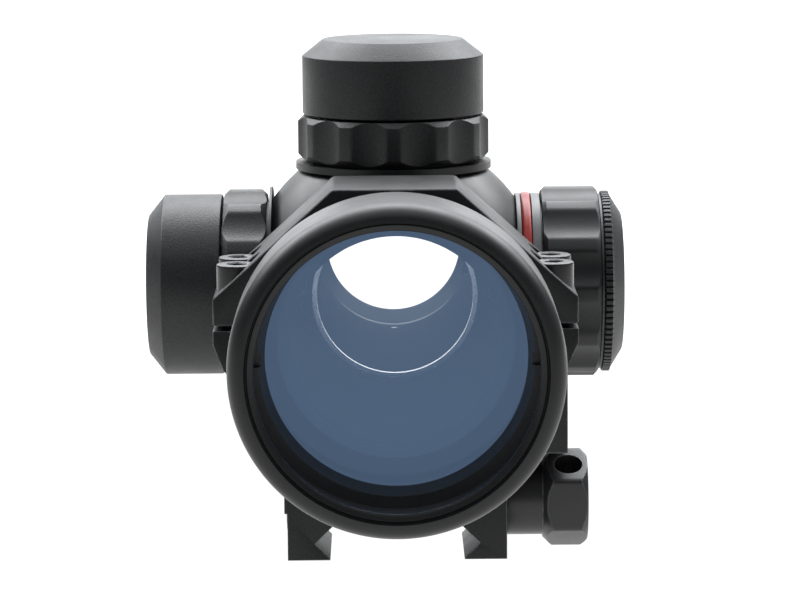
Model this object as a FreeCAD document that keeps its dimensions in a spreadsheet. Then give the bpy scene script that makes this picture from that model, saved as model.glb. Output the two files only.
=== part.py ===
import FreeCAD, Part
import Sketcher
import math
import os

# A tube reflex sight used as a finder: sight tube, two adjusting turrets, a brightness dial that holds
# the battery, and a ring mount that clamps on a 21 mm dovetail rail.
# Frame: origin on the rail seat under the middle of the ring, X across, +Y towards the eye, +Z up.

DIMENSIONS = {
    # sight line
    "axis_height": 26.0,
    "front_reach": 45.1,
    "turret_station": 78.7,
    "thread_gap": 0.05,
    "run_gap": 0.08,
    "head_gap": 0.02,
    "cut_reach": 30.0,
    # objective bell
    "bell_radius": 20.75,
    "bell_lip_radius": 18.3,
    "bell_thread_radius": 18.9,
    "bell_lip_depth": 1.2,
    "bell_round": 1.15,
    "bell_length": 13.5,
    "bell_taper_end": 27.0,
    "bell_collar_radius": 16.2,
    "bell_end": 33.0,
    "bell_seat_front": 14.1,
    "bell_seat_radius": 18.1,
    "bell_seat_back": 18.6,
    "bell_throat_radius": 16.6,
    "bell_throat_end": 25.5,
    # objective optics
    "lens_radius": 18.0,
    "lens_curve": 120.0,
    "lens_front_apex": 12.95,
    "lens_joint_apex": 14.3,
    "lens_back_apex": 16.0,
    "lens_cement": 0.02,
    "lens_blank_depth": 4.2,
    "front_ring_face": 11.0,
    "front_ring_back": 14.0,
    "front_ring_mouth": 17.2,
    "front_ring_bore": 16.45,
    "spanner_slot": 1.6,
    "spanner_slot_depth": 1.2,
    "seal_radius": 17.3,
    "seal_section": 0.58,
    "seal_station": 18.0,
    # sight tube
    "tube_radius": 15.0,
    "tube_bore": 13.6,
    "spigot_radius": 14.5,
    "front_spigot_start": 26.0,
    "rear_spigot_start": 100.4,
    "tube_end": 107.4,
    "saddle_radius": 21.1,
    "saddle_top": 16.6,
    "saddle_side": 17.2,
    "saddle_base": 18.8,
    "port_radius": 6.5,
    "side_port_radius": 9.0,
    "spring_pocket_radius": 3.0,
    "spring_pocket_depth": 17.3,
    # eyepiece
    "eyepiece_collar": 16.2,
    "eyepiece_flare_start": 105.0,
    "eyepiece_flare_end": 109.0,
    "eyepiece_radius": 18.6,
    "eyepiece_end": 123.2,
    "eyepiece_round": 1.2,
    "eyepiece_bore": 14.35,
    "eyepiece_bore_end": 113.4,
    "eyepiece_stop_radius": 11.6,
    "eyepiece_seat": 115.0,
    "eyepiece_seat_radius": 13.1,
    "eye_lens_radius": 13.0,
    "eye_lens_front": 116.05,
    "eye_lens_thickness": 1.9,
    "eye_seal_radius": 12.4,
    "eye_seal_section": 0.5,
    "eye_ring_face": 118.0,
    "eye_ring_back": 120.4,
    "eye_ring_bore": 10.2,
    "eye_mouth_radius": 14.2,
    # inner tube and its pivots
    "inner_radius": 12.3,
    "inner_bore": 11.2,
    "inner_front": 65.2,
    "inner_end": 111.0,
    "inner_seat_radius": 11.56,
    "inner_seat_end": 68.6,
    "inner_flat": 12.0,
    "inner_ring_radius": 11.52,
    "inner_ring_bore": 10.9,
    "inner_ring_face": 65.5,
    "inner_lens_front": 66.45,
    "inner_lens_back": 68.5,
    "pivot_arm": 30.0,
    "pivot_ring_inner": 12.7,
    "pivot_ring_outer": 13.95,
    "pivot_ring_width": 1.9,
    "pivot_pin_radius": 0.6,
    "emitter_station": 99.0,
    "emitter_length": 5.0,
    "emitter_width": 3.2,
    "emitter_reach": 10.2,
    "diode_radius": 0.35,
    "diode_length": 1.1,
    # bias springs
    "lift_coil_radius": 2.2,
    "lift_wire": 0.25,
    "lift_spring_top": 12.35,
    "leaf_thickness": 0.25,
    "leaf_width": 4.0,
    "leaf_foot": 16.35,
    "leaf_reach": 6.8,
    "leaf_curve": 7.2,
    "leaf_apex": 12.98,
    # turrets: heights are measured from the sight line
    "flange_radius": 13.87,
    "flange_bottom": 0.05,
    "flange_thickness": 1.0,
    "neck_radius": 11.6,
    "neck_top": 23.9,
    "post_radius": 8.4,
    "post_top": 29.0,
    "lock_ring_bottom": 18.0,
    "lock_ring_top": 24.1,
    "lock_ring_radius": 13.55,
    "lock_ring_bevel": 0.75,
    "scallop_depth": 0.75,
    "scallop_cutter": 6.4,
    "scallop_count": 12,
    "knob_bottom": 24.4,
    "knob_radius": 12.85,
    "knob_bevel_start": 32.6,
    "knob_top": 34.9,
    "knob_face_radius": 9.95,
    "knob_cavity": 10.6,
    "knob_cavity_top": 31.2,
    "knob_round": 0.35,
    "hub_radius": 3.5,
    "hub_bore": 2.05,
    "hub_bottom": 15.6,
    "turret_floor": 16.9,
    "hub_bore_top": 27.0,
    "click_ring_bottom": 25.0,
    "click_ring_top": 29.0,
    "click_ring_bore": 9.05,
    "click_groove": 0.35,
    "click_count": 40,
    "detent_ball_radius": 1.0,
    "detent_height": 27.0,
    "detent_ball_centre": 7.9,
    "detent_hole_end": 4.4,
    "detent_coil_radius": 0.65,
    "detent_wire": 0.15,
    "clip_bottom": 15.95,
    "clip_thickness": 0.6,
    "clip_radius": 4.6,
    "clip_groove_radius": 2.9,
    "clip_half_mouth": 1.74,
    "guide_bottom": 13.4,
    "guide_top": 15.3,
    "guide_radius": 4.9,
    "spindle_radius": 2.0,
    "spindle_half_flat": 1.5,
    "spindle_tip": 12.1,
    "spindle_key_top": 17.4,
    "spindle_top": 23.0,
    # brightness dial: distances are measured from the sight line
    "switch_spigot_start": 14.0,
    "switch_spigot_floor": 16.4,
    "switch_spigot_bore": 7.4,
    "switch_flange_start": 17.25,
    "switch_radius": 12.7,
    "accent_start": 17.9,
    "accent_end": 19.4,
    "accent_groove": 11.7,
    "accent_radius": 12.85,
    "switch_flange_end": 20.65,
    "switch_neck_radius": 11.2,
    "switch_neck_end": 24.2,
    "switch_cavity": 9.9,
    "switch_floor": 18.4,
    "wire_hole_radius": 1.6,
    "wire_hole_offset": 5.0,
    "dial_start": 20.9,
    "dial_end": 28.9,
    "dial_radius": 13.6,
    "dial_bevel": 0.7,
    "dial_relief": 12.0,
    "dial_relief_start": 22.9,
    "dial_web_start": 25.0,
    "dial_web_end": 26.0,
    "dial_battery_bore": 10.4,
    "dial_thread_radius": 11.1,
    "dial_thread_start": 27.0,
    "dial_hole_radius": 2.5,
    "retainer_start": 23.1,
    "retainer_thickness": 0.6,
    "retainer_groove": 10.7,
    "retainer_radius": 11.85,
    "collar_start": 28.95,
    "collar_end": 29.4,
    "collar_radius": 12.5,
    "collar_bore": 11.3,
    "cap_start": 29.45,
    "cap_rim_end": 30.65,
    "cap_end": 32.3,
    "cap_radius": 12.9,
    "cap_face_radius": 9.8,
    "cap_spigot_radius": 11.05,
    "cap_spigot_start": 27.4,
    "cap_recess": 10.1,
    "cap_rim_land": 12.45,
    "cap_groove_start": 28.3,
    "cap_groove_end": 29.15,
    "cap_groove_radius": 10.55,
    "cap_floor": 30.3,
    "cap_slot_width": 1.8,
    "cap_slot_length": 13.0,
    "cap_slot_depth": 0.7,
    "knurl_count": 90,
    "knurl_depth": 0.3,
    "knurl_half_width": 0.45,
    "cap_seal_radius": 10.82,
    "cap_seal_section": 0.26,
    "cap_seal_station": 28.725,
    "cell_radius": 10.0,
    "cell_start": 27.0,
    "cell_thickness": 3.2,
    "cell_step": 0.35,
    "cell_face_radius": 8.8,
    "contact_wire": 0.25,
    "contact_radius": 5.0,
    "board_start": 20.2,
    "board_thickness": 1.0,
    "board_radius": 9.8,
    "rotor_start": 21.9,
    "rotor_thickness": 2.6,
    "rotor_radius": 8.6,
    "rotor_pocket": 0.4,
    "dial_ball_radius": 0.8,
    "dial_ball_offset": 7.0,
    "dial_coil_radius": 0.5,
    # ring mount
    "mount_width": 16.0,
    "split_gap": 0.3,
    "ear_half_width": 24.05,
    "ear_top": 3.9,
    "plateau_half_width": 8.2,
    "plateau_height": 18.3,
    "ear_drop": 2.2,
    "ear_taper_half_width": 22.8,
    "ear_taper_bottom": 5.4,
    "flank_knee_height": 17.0,
    "shoulder_half_width": 22.6,
    "shoulder_bottom": 17.0,
    "shoulder_root": 16.4,
    "edge_bevel": 0.35,
    "screw_half_spacing": 20.9,
    "screw_half_pitch": 3.5,
    "screw_radius": 1.5,
    "screw_clearance_radius": 1.65,
    "screw_head_radius": 2.75,
    "screw_head_height": 3.4,
    "screw_seat": 4.6,
    "screw_counterbore": 3.1,
    "screw_bottom": 4.6,
    "screw_hole_bottom": 4.9,
    "hex_key": 2.5,
    "hex_key_depth": 1.8,
    # rail clamp
    "rail_groove_half": 10.95,
    "rail_tip_half": 8.9,
    "groove_line": 29.0,
    "tip_top": 31.05,
    "jaw_bottom": 31.2,
    "jaw_half_width": 14.55,
    "side_step_half_width": 14.95,
    "side_step_height": 24.9,
    "jaw_corner": 0.9,
    "jaw_inner": 4.8,
    "jaw_split": 3.6,
    "seat_half_width": 7.9,
    "bolt_drop": 24.5,
    "bolt_radius": 2.5,
    "bolt_hole_radius": 2.56,
    "bolt_head_radius": 4.2,
    "bolt_head_recess": 0.2,
    "bolt_head_depth": 2.4,
    "bolt_slot_depth": 1.1,
    "bolt_end": 19.8,
    "jaw_top_gap": 0.35,
    "jaw_top": 18.9,
    "pin_radius": 1.2,
    "pin_offset": 5.4,
    "pin_start": -4.0,
    "pin_end": 13.0,
    "pin_drop": 23.3,
    "clamp_collar_radius": 5.0,
    "clamp_collar_start": 14.65,
    "hex_start": 19.5,
    "hex_end": 25.5,
    "hex_half_flat": 5.8,
    "hex_corner": 6.6,
    "hex_bevel": 0.9,
    "hex_back_bevel": 1.3,
    "clamp_bore_end": 20.6,
    "cross_hole_radius": 1.9,
    "cross_hole_station": 22.9,
}


class Size:
    """A length from the sheet: its value and the expression that drives it."""

    def __init__(self, value, text):
        self.value = value
        self.text = text

    def join(self, other, sign):
        other = as_size(other)
        values = {
            "+": self.value + other.value,
            "-": self.value - other.value,
            "*": self.value * other.value,
        }
        return Size(values[sign], "(%s %s %s)" % (self.text, sign, other.text))

    def __add__(self, other):
        return self.join(other, "+")

    def __sub__(self, other):
        return self.join(other, "-")

    def __mul__(self, other):
        return self.join(other, "*")

    def __neg__(self):
        return Size(-self.value, "(-1 * %s)" % self.text)


def as_size(number):
    """A plain number as a Size, so that both kinds mix in a sum."""
    if isinstance(number, Size):
        return number
    return Size(float(number), repr(float(number)))


doc = FreeCAD.newDocument("finder")
sheet = doc.addObject("Spreadsheet::Sheet", "Sheet")
for row, (alias, number) in enumerate(DIMENSIONS.items(), start=1):
    sheet.set("A%d" % row, alias)
    sheet.set("B%d" % row, repr(number))
    sheet.setAlias("B%d" % row, alias)
doc.recompute()


def dim(alias):
    return Size(float(DIMENSIONS[alias]), "Sheet." + alias)


ZERO = as_size(0.0)
HALF = as_size(0.5)
# how far a cutting shape runs past the surface it breaks through
PAST = 1.0
# how far inside a face an edge still counts as lying on it
ON_FACE = 0.1
NEARLY_ZERO = 1e-9
# turns of the coils
LIFT_TURNS = 5
DETENT_TURNS = 5
DIAL_DETENT_TURNS = 4
CONTACT_TURNS = 0.9
HEX_SIDES = 6
# the hexagon flat that the tommy-bar hole starts from, in degrees from straight down
CROSS_HOLE_FLAT = -150

# ---------------------------------------------------------------- placing

ALONG = {
    "sight": FreeCAD.Rotation(FreeCAD.Vector(1, 0, 0), -90),
    "up": FreeCAD.Rotation(),
    "left": FreeCAD.Rotation(FreeCAD.Vector(0, 1, 0), -90),
    "right": FreeCAD.Rotation(FreeCAD.Vector(0, 1, 0), 90),
}
FRONT_OF_TUBE = (ZERO, -dim("front_reach"), dim("axis_height"))
TURRET_CROSS = (ZERO, dim("turret_station") - dim("front_reach"), dim("axis_height"))
BOLT_LINE = (ZERO, ZERO, dim("axis_height") - dim("bolt_drop"))


def place(item, base, rotation=None):
    """Give an object its own bound Placement."""
    turn = rotation if rotation is not None else FreeCAD.Rotation()
    vector = FreeCAD.Vector(*[part.value for part in base])
    item.Placement = FreeCAD.Placement(vector, turn)
    for letter, part in zip("xyz", base):
        item.setExpression("Placement.Base." + letter, part.text)
    return item


def polar(reach, angle):
    """A point at a reach and an angle, free of rounding dust."""
    return (reach * round(math.cos(angle), 9), reach * round(math.sin(angle), 9))


# ---------------------------------------------------------------- sketches and solids of one body


def new_body(label):
    body = doc.addObject("PartDesign::Body", label)
    body.Label = label
    return body


def origin_plane(body, role):
    for feature in body.Origin.OriginFeatures:
        if feature.Role == role:
            return feature
    raise RuntimeError("no plane " + role)


def new_sketch(body, role, lift=None):
    """A sketch on one of the body's own origin planes, lifted off it by a bound distance."""
    sketch = body.newObject("Sketcher::SketchObject", body.Label + "_sketch")
    sketch.AttachmentSupport = (origin_plane(body, role), [""])
    sketch.MapMode = "FlatFace"
    if lift is not None:
        sketch.AttachmentOffset = FreeCAD.Placement(FreeCAD.Vector(0, 0, lift.value), FreeCAD.Rotation())
        sketch.setExpression("AttachmentOffset.Base.z", lift.text)
    return sketch


def bind(sketch, kind, geometry, point, size, name):
    """Fix one coordinate of a sketch point to a sheet size."""
    if abs(size.value) < NEARLY_ZERO:
        axis = -2 if kind == "DistanceX" else -1
        sketch.addConstraint(Sketcher.Constraint("PointOnObject", geometry, point, axis))
        return
    index = sketch.addConstraint(Sketcher.Constraint(kind, geometry, point, size.value))
    sketch.renameConstraint(index, name)
    sketch.setExpression("Constraints." + name, size.text)


def outline(sketch, corners):
    """A closed outline through the given corners, each one bound to the sheet."""
    corners = [(as_size(across), as_size(along)) for across, along in corners]
    first = sketch.GeometryCount
    count = len(corners)
    for number in range(count):
        start = corners[number]
        end = corners[(number + 1) % count]
        line = Part.LineSegment(
            FreeCAD.Vector(start[0].value, start[1].value, 0),
            FreeCAD.Vector(end[0].value, end[1].value, 0),
        )
        sketch.addGeometry(line, False)
    for number in range(count):
        after = first + (number + 1) % count
        sketch.addConstraint(Sketcher.Constraint("Coincident", first + number, 2, after, 1))
    for number, (across, along) in enumerate(corners):
        bind(sketch, "DistanceX", first + number, 1, across, "across_%d" % (first + number))
        bind(sketch, "DistanceY", first + number, 1, along, "along_%d" % (first + number))


def box_outline(sketch, low, high):
    outline(sketch, [low, (high[0], low[1]), high, (low[0], high[1])])


def disc(sketch, radius, centre=(0, 0)):
    """A circle with a bound radius and centre."""
    across = as_size(centre[0])
    along = as_size(centre[1])
    shape = Part.Circle(
        FreeCAD.Vector(across.value, along.value, 0), FreeCAD.Vector(0, 0, 1), radius.value
    )
    number = sketch.addGeometry(shape, False)
    index = sketch.addConstraint(Sketcher.Constraint("Radius", number, radius.value))
    sketch.renameConstraint(index, "radius_%d" % number)
    sketch.setExpression("Constraints.radius_%d" % number, radius.text)
    bind(sketch, "DistanceX", number, 3, across, "centre_across_%d" % number)
    bind(sketch, "DistanceY", number, 3, along, "centre_along_%d" % number)


def hexagon(sketch, half_flat):
    reach = half_flat * (1 / math.cos(math.pi / HEX_SIDES))
    outline(sketch, [polar(reach, 2 * math.pi * number / HEX_SIDES) for number in range(HEX_SIDES)])


def volume_of(feature):
    doc.recompute()
    return feature.Shape.Volume


def turned(label, corners):
    """A body turned about its own Z axis from a profile of radius and height."""
    body = new_body(label)
    sketch = new_sketch(body, "XZ_Plane")
    outline(sketch, corners)
    turn = body.newObject("PartDesign::Revolution", label + "_turned")
    turn.Profile = sketch
    turn.ReferenceAxis = (sketch, ["V_Axis"])
    turn.Angle = 360.0
    sketch.Visibility = False
    doc.recompute()
    return body


def cut(body, sketch, depth=None, upward=True):
    """Pocket a sketch, upward or downward, to a bound depth or right through."""
    before = volume_of(body)
    pocket = body.newObject("PartDesign::Pocket", body.Label + "_cut")
    pocket.Profile = sketch
    pocket.Reversed = upward
    if depth is None:
        pocket.Type = "ThroughAll"
    else:
        pocket.Type = "Length"
        pocket.Length = depth.value
        pocket.setExpression("Length", depth.text)
    sketch.Visibility = False
    after = volume_of(body)
    if not after < before - 1e-6:
        raise RuntimeError("%s: a cut removed nothing" % body.Label)
    return pocket


def padded(label, role, corners, length, both_ways=True):
    """A body padded from an outline, evenly both ways or to one side of its plane."""
    body = new_body(label)
    lift = -(length * 0.5) if both_ways else None
    sketch = new_sketch(body, role, lift)
    outline(sketch, corners)
    pad = body.newObject("PartDesign::Pad", label + "_pad")
    pad.Profile = sketch
    pad.Type = "Length"
    pad.Length = length.value
    pad.setExpression("Length", length.text)
    sketch.Visibility = False
    doc.recompute()
    return body


def around(body, feature, count):
    """Repeat a feature around the body's Z axis."""
    pattern = body.newObject("PartDesign::PolarPattern", body.Label + "_around")
    pattern.Originals = [feature]
    pattern.Axis = (feature.Profile[0], ["N_Axis"])
    pattern.Angle = 360.0
    pattern.Occurrences = int(count.value)
    pattern.setExpression("Occurrences", count.text)
    body.Tip = pattern
    doc.recompute()
    return pattern


def round_edges_at(shape, radius, height):
    """Names of a shape's circular edges of one radius at one height."""
    names = []
    for number, edge in enumerate(shape.Edges, start=1):
        curve = edge.Curve
        if not isinstance(curve, Part.Circle):
            continue
        if abs(curve.Radius - radius.value) < 1e-4 and abs(curve.Center.z - height.value) < 1e-4:
            names.append("Edge%d" % number)
    return names


def soften(body, places, size, kind="Fillet"):
    """Fillet or chamfer the body's circular edges at the given radii and heights."""
    doc.recompute()
    tip = body.Tip
    names = []
    for radius, height in places:
        names.extend(round_edges_at(tip.Shape, as_size(radius), as_size(height)))
    if not names:
        raise RuntimeError("%s: no edge to soften" % body.Label)
    dress = body.newObject("PartDesign::" + kind, body.Label + "_" + kind.lower())
    dress.Base = (tip, names)
    side = "Radius" if kind == "Fillet" else "Size"
    setattr(dress, side, size.value)
    dress.setExpression(side, size.text)
    doc.recompute()
    return dress


def bevel_straight_edges(body, wanted, size):
    """Chamfer the straight edges that a test picks."""
    doc.recompute()
    tip = body.Tip
    names = []
    for number, edge in enumerate(tip.Shape.Edges, start=1):
        if isinstance(edge.Curve, Part.Line) and wanted(edge):
            names.append("Edge%d" % number)
    dress = body.newObject("PartDesign::Chamfer", body.Label + "_bevel")
    dress.Base = (tip, names)
    dress.Size = size.value
    dress.setExpression("Size", size.text)
    doc.recompute()
    return dress


def coil(label, coil_radius, wire_radius, bottom, top, turns):
    """A coil spring about the body's Z axis, its wire inside the given heights."""
    body = new_body(label)
    sketch = new_sketch(body, "XZ_Plane")
    disc(sketch, wire_radius, (coil_radius, bottom + wire_radius))
    rise = top - bottom - wire_radius * 2
    helix = body.newObject("PartDesign::AdditiveHelix", label + "_coil")
    helix.Profile = sketch
    helix.ReferenceAxis = (sketch, ["V_Axis"])
    helix.Mode = "height-turns-angle"
    helix.Height = rise.value
    helix.setExpression("Height", rise.text)
    helix.Turns = turns
    helix.Angle = 0
    sketch.Visibility = False
    doc.recompute()
    return body


# ---------------------------------------------------------------- Part solids for joined shapes

AXES = {
    "x": FreeCAD.Rotation(FreeCAD.Vector(0, 1, 0), 90),
    "y": FreeCAD.Rotation(FreeCAD.Vector(1, 0, 0), -90),
    "z": FreeCAD.Rotation(),
}


def bound(item, **sizes):
    for name, size in sizes.items():
        size = as_size(size)
        setattr(item, name, size.value)
        item.setExpression(name, size.text)
    return item


def at(item, base, axis="z"):
    return place(item, [as_size(part) for part in base], AXES[axis])


def cylinder(name, radius, height, base, axis="z"):
    item = doc.addObject("Part::Cylinder", name)
    bound(item, Radius=radius, Height=height)
    return at(item, base, axis)


def block(name, low, high):
    """A box between two corners."""
    low = [as_size(part) for part in low]
    high = [as_size(part) for part in high]
    item = doc.addObject("Part::Box", name)
    bound(item, Length=high[0] - low[0], Width=high[1] - low[1], Height=high[2] - low[2])
    return at(item, low)


def ball(name, radius, base):
    item = doc.addObject("Part::Sphere", name)
    bound(item, Radius=radius)
    return at(item, base)


def hoop(name, radius, section, base, axis="z"):
    item = doc.addObject("Part::Torus", name)
    bound(item, Radius1=radius, Radius2=section)
    return at(item, base, axis)


def joined(name, shapes):
    item = doc.addObject("Part::MultiFuse", name)
    item.Shapes = shapes
    doc.recompute()
    return item


def less(name, base, tool):
    item = doc.addObject("Part::Cut", name)
    item.Base = base
    item.Tool = tool
    doc.recompute()
    return item


def shared(name, shapes):
    item = doc.addObject("Part::MultiCommon", name)
    item.Shapes = shapes
    doc.recompute()
    return item


PARTS = []


def finish(item, label, base, rotation=None):
    """Label a finished sub-part, place it and list it for writing."""
    item.Label = label
    place(item, base, rotation)
    PARTS.append(item)
    return item


def lens(label, radius, front_apex, front_curve, back_apex, back_curve, depth):
    """A round lens with two spherical faces that both bow towards the front."""
    blank = cylinder(label + "_blank", radius, depth, (0, 0, front_apex))
    front = ball(label + "_front", front_curve, (0, 0, front_apex + front_curve))
    back = ball(label + "_back", back_curve, (0, 0, back_apex + back_curve))
    bulged = shared(label + "_bulged", [blank, front])
    return less(label, bulged, back)


# ---------------------------------------------------------------- objective end


def objective_bell():
    body = turned("objective_bell", [
        (dim("bell_lip_radius"), 0),
        (dim("bell_radius"), 0),
        (dim("bell_radius"), dim("bell_length")),
        (dim("bell_collar_radius"), dim("bell_taper_end")),
        (dim("bell_collar_radius"), dim("bell_end")),
        (dim("spigot_radius") + dim("thread_gap"), dim("bell_end")),
        (dim("spigot_radius") + dim("thread_gap"), dim("bell_throat_end")),
        (dim("tube_bore"), dim("bell_throat_end")),
        (dim("bell_throat_radius"), dim("bell_seat_back")),
        (dim("bell_seat_radius"), dim("bell_seat_back")),
        (dim("bell_seat_radius"), dim("bell_seat_front")),
        (dim("bell_thread_radius"), dim("bell_seat_front")),
        (dim("bell_thread_radius"), dim("bell_lip_depth")),
        (dim("bell_lip_radius"), dim("bell_lip_depth")),
    ])
    soften(body, [(dim("bell_radius"), 0)], dim("bell_round"))
    soften(body, [(dim("bell_lip_radius"), 0)], dim("edge_bevel"))
    finish(body, "objective_bell", FRONT_OF_TUBE, ALONG["sight"])


def objective_lenses():
    joint_back = dim("lens_joint_apex") + dim("lens_cement")
    depth = dim("lens_blank_depth")
    outer = lens(
        "objective_lens_outer", dim("lens_radius"), dim("lens_front_apex"), dim("lens_curve"),
        dim("lens_joint_apex"), dim("lens_curve"), depth,
    )
    finish(outer, "objective_lens_outer", FRONT_OF_TUBE, ALONG["sight"])
    inner = lens(
        "objective_lens_inner", dim("lens_radius"), joint_back, dim("lens_curve"),
        dim("lens_back_apex"), dim("lens_curve"), depth,
    )
    finish(inner, "objective_lens_inner", FRONT_OF_TUBE, ALONG["sight"])


def spanner_slots(body, face, reach):
    """Two slots across a retaining ring's face, for a pin spanner."""
    sketch = new_sketch(body, "XY_Plane", face)
    half = dim("spanner_slot") * 0.5
    box_outline(sketch, (-reach, -half), (reach, half))
    return sketch


def objective_retaining_ring():
    body = turned("objective_retaining_ring", [
        (dim("front_ring_mouth"), dim("front_ring_face")),
        (dim("bell_thread_radius") - dim("thread_gap"), dim("front_ring_face")),
        (dim("bell_thread_radius") - dim("thread_gap"), dim("front_ring_back")),
        (dim("front_ring_bore"), dim("front_ring_back")),
        (dim("front_ring_bore"), dim("front_ring_back") - dim("edge_bevel")),
    ])
    sketch = spanner_slots(body, dim("front_ring_face"), dim("cut_reach"))
    cut(body, sketch, dim("spanner_slot_depth"))
    finish(body, "objective_retaining_ring", FRONT_OF_TUBE, ALONG["sight"])


def objective_seal():
    ring = hoop("objective_seal", dim("seal_radius"), dim("seal_section"), (0, 0, 0))
    base = (ZERO, dim("seal_station") - dim("front_reach"), dim("axis_height"))
    finish(ring, "objective_seal", base, ALONG["sight"])


# ---------------------------------------------------------------- sight tube


def main_tube():
    start = dim("front_spigot_start")
    shoulder = dim("bell_end")
    rear = dim("rear_spigot_start")
    station = dim("turret_station")
    top = dim("saddle_top")
    side = dim("saddle_side")
    far = dim("saddle_radius") + PAST
    skin = joined("tube_skin", [
        cylinder("tube_spigots", dim("spigot_radius"), dim("tube_end") - start, (0, start, 0), "y"),
        cylinder("tube_wall", dim("tube_radius"), rear - shoulder, (0, shoulder, 0), "y"),
        ball("tube_saddle", dim("saddle_radius"), (0, station, 0)),
    ])
    flats = [
        block("flat_top", (-far, station - far, top), (far, station + far, far)),
        block("flat_right", (side, station - far, -far), (far, station + far, far)),
        block("flat_left", (-far, station - far, -far), (-side, station + far, far)),
        block("flat_base", (-far, station - far, -far), (far, station + far, -dim("saddle_base"))),
    ]
    ports = [
        cylinder("port_top", dim("port_radius") + dim("thread_gap"), far, (0, station, 0), "z"),
        cylinder("port_left", dim("port_radius") + dim("thread_gap"), far, (-far, station, 0), "x"),
        cylinder("port_right", dim("side_port_radius") + dim("thread_gap"), far, (0, station, 0), "x"),
        cylinder(
            "port_spring", dim("spring_pocket_radius"), dim("spring_pocket_depth"),
            (0, station, -dim("spring_pocket_depth")), "z",
        ),
    ]
    bore = cylinder("tube_hollow", dim("tube_bore"), dim("eyepiece_end"), (0, 0, 0), "y")
    away = joined("tube_away", flats + ports + [bore])
    finish(less("main_tube", skin, away), "main_tube", FRONT_OF_TUBE)


# ---------------------------------------------------------------- eyepiece end


def eyepiece_housing():
    body = turned("eyepiece_housing", [
        (dim("spigot_radius") + dim("thread_gap"), dim("rear_spigot_start") + dim("thread_gap")),
        (dim("eyepiece_collar"), dim("rear_spigot_start") + dim("thread_gap")),
        (dim("eyepiece_collar"), dim("eyepiece_flare_start")),
        (dim("eyepiece_radius"), dim("eyepiece_flare_end")),
        (dim("eyepiece_radius"), dim("eyepiece_end")),
        (dim("eye_mouth_radius"), dim("eyepiece_end")),
        (dim("eyepiece_seat_radius"), dim("eye_ring_back")),
        (dim("eyepiece_seat_radius"), dim("eyepiece_seat")),
        (dim("eyepiece_stop_radius"), dim("eyepiece_seat")),
        (dim("eyepiece_stop_radius"), dim("eyepiece_bore_end")),
        (dim("eyepiece_bore"), dim("eyepiece_bore_end")),
        (dim("eyepiece_bore"), dim("tube_end") + dim("thread_gap")),
        (dim("spigot_radius") + dim("thread_gap"), dim("tube_end") + dim("thread_gap")),
    ])
    soften(body, [(dim("eyepiece_radius"), dim("eyepiece_end"))], dim("eyepiece_round"))
    pivot = dim("turret_station") + dim("pivot_arm")
    for upward in (True, False):
        hole = new_sketch(body, "YZ_Plane")
        disc(hole, dim("pivot_pin_radius"), (0, pivot))
        cut(body, hole, dim("tube_radius") + PAST, upward)
    finish(body, "eyepiece_housing", FRONT_OF_TUBE, ALONG["sight"])


def eyepiece_optics():
    front = dim("eye_lens_front")
    eye_lens = turned("eyepiece_lens", [
        (0, front),
        (dim("eye_lens_radius"), front),
        (dim("eye_lens_radius"), front + dim("eye_lens_thickness")),
        (0, front + dim("eye_lens_thickness")),
    ])
    finish(eye_lens, "eyepiece_lens", FRONT_OF_TUBE, ALONG["sight"])
    ring = turned("eyepiece_retaining_ring", [
        (dim("eye_lens_radius") - PAST, dim("eye_ring_face")),
        (dim("eyepiece_seat_radius") - dim("thread_gap"), dim("eye_ring_face")),
        (dim("eyepiece_seat_radius") - dim("thread_gap"), dim("eye_ring_back")),
        (dim("eye_ring_bore"), dim("eye_ring_back")),
        (dim("eye_ring_bore"), dim("eye_ring_back") - dim("edge_bevel")),
    ])
    sketch = new_sketch(ring, "XY_Plane", dim("eye_ring_back"))
    half = dim("spanner_slot") * 0.5
    box_outline(sketch, (-dim("cut_reach"), -half), (dim("cut_reach"), half))
    cut(ring, sketch, dim("spanner_slot_depth") - dim("edge_bevel"), upward=False)
    finish(ring, "eyepiece_retaining_ring", FRONT_OF_TUBE, ALONG["sight"])
    seal = hoop("eyepiece_seal", dim("eye_seal_radius"), dim("eye_seal_section"), (0, 0, 0))
    base = (ZERO, dim("eyepiece_seat") + dim("eye_seal_section") - dim("front_reach"), dim("axis_height"))
    finish(seal, "eyepiece_seal", base, ALONG["sight"])


# ---------------------------------------------------------------- inner tube


def inner_tube():
    station = dim("turret_station")
    pivot = station + dim("pivot_arm")
    start = dim("inner_front")
    length = dim("inner_end") - start
    skin = cylinder("inner_skin", dim("inner_radius"), length, (0, start, 0), "y")
    flat = dim("inner_flat")
    far = dim("inner_radius") + PAST
    half = dim("guide_radius")
    gap = dim("thread_gap")
    pin_hole = dim("pivot_pin_radius") + gap
    away = joined("inner_away", [
        cylinder("inner_hollow", dim("inner_bore"), length + PAST * 2, (0, start - PAST, 0), "y"),
        cylinder(
            "inner_seat", dim("inner_seat_radius"), dim("inner_seat_end") - start + PAST,
            (0, start - PAST, 0), "y",
        ),
        block("inner_flat_top", (-far, station - half, flat), (far, station + half, far)),
        block("inner_flat_left", (-far, station - half, -far), (-flat, station + half, far)),
        cylinder("inner_pin_holes", pin_hole, far * 2, (0, pivot, -far), "z"),
    ])
    finish(less("inner_tube", skin, away), "inner_tube", FRONT_OF_TUBE)


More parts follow.
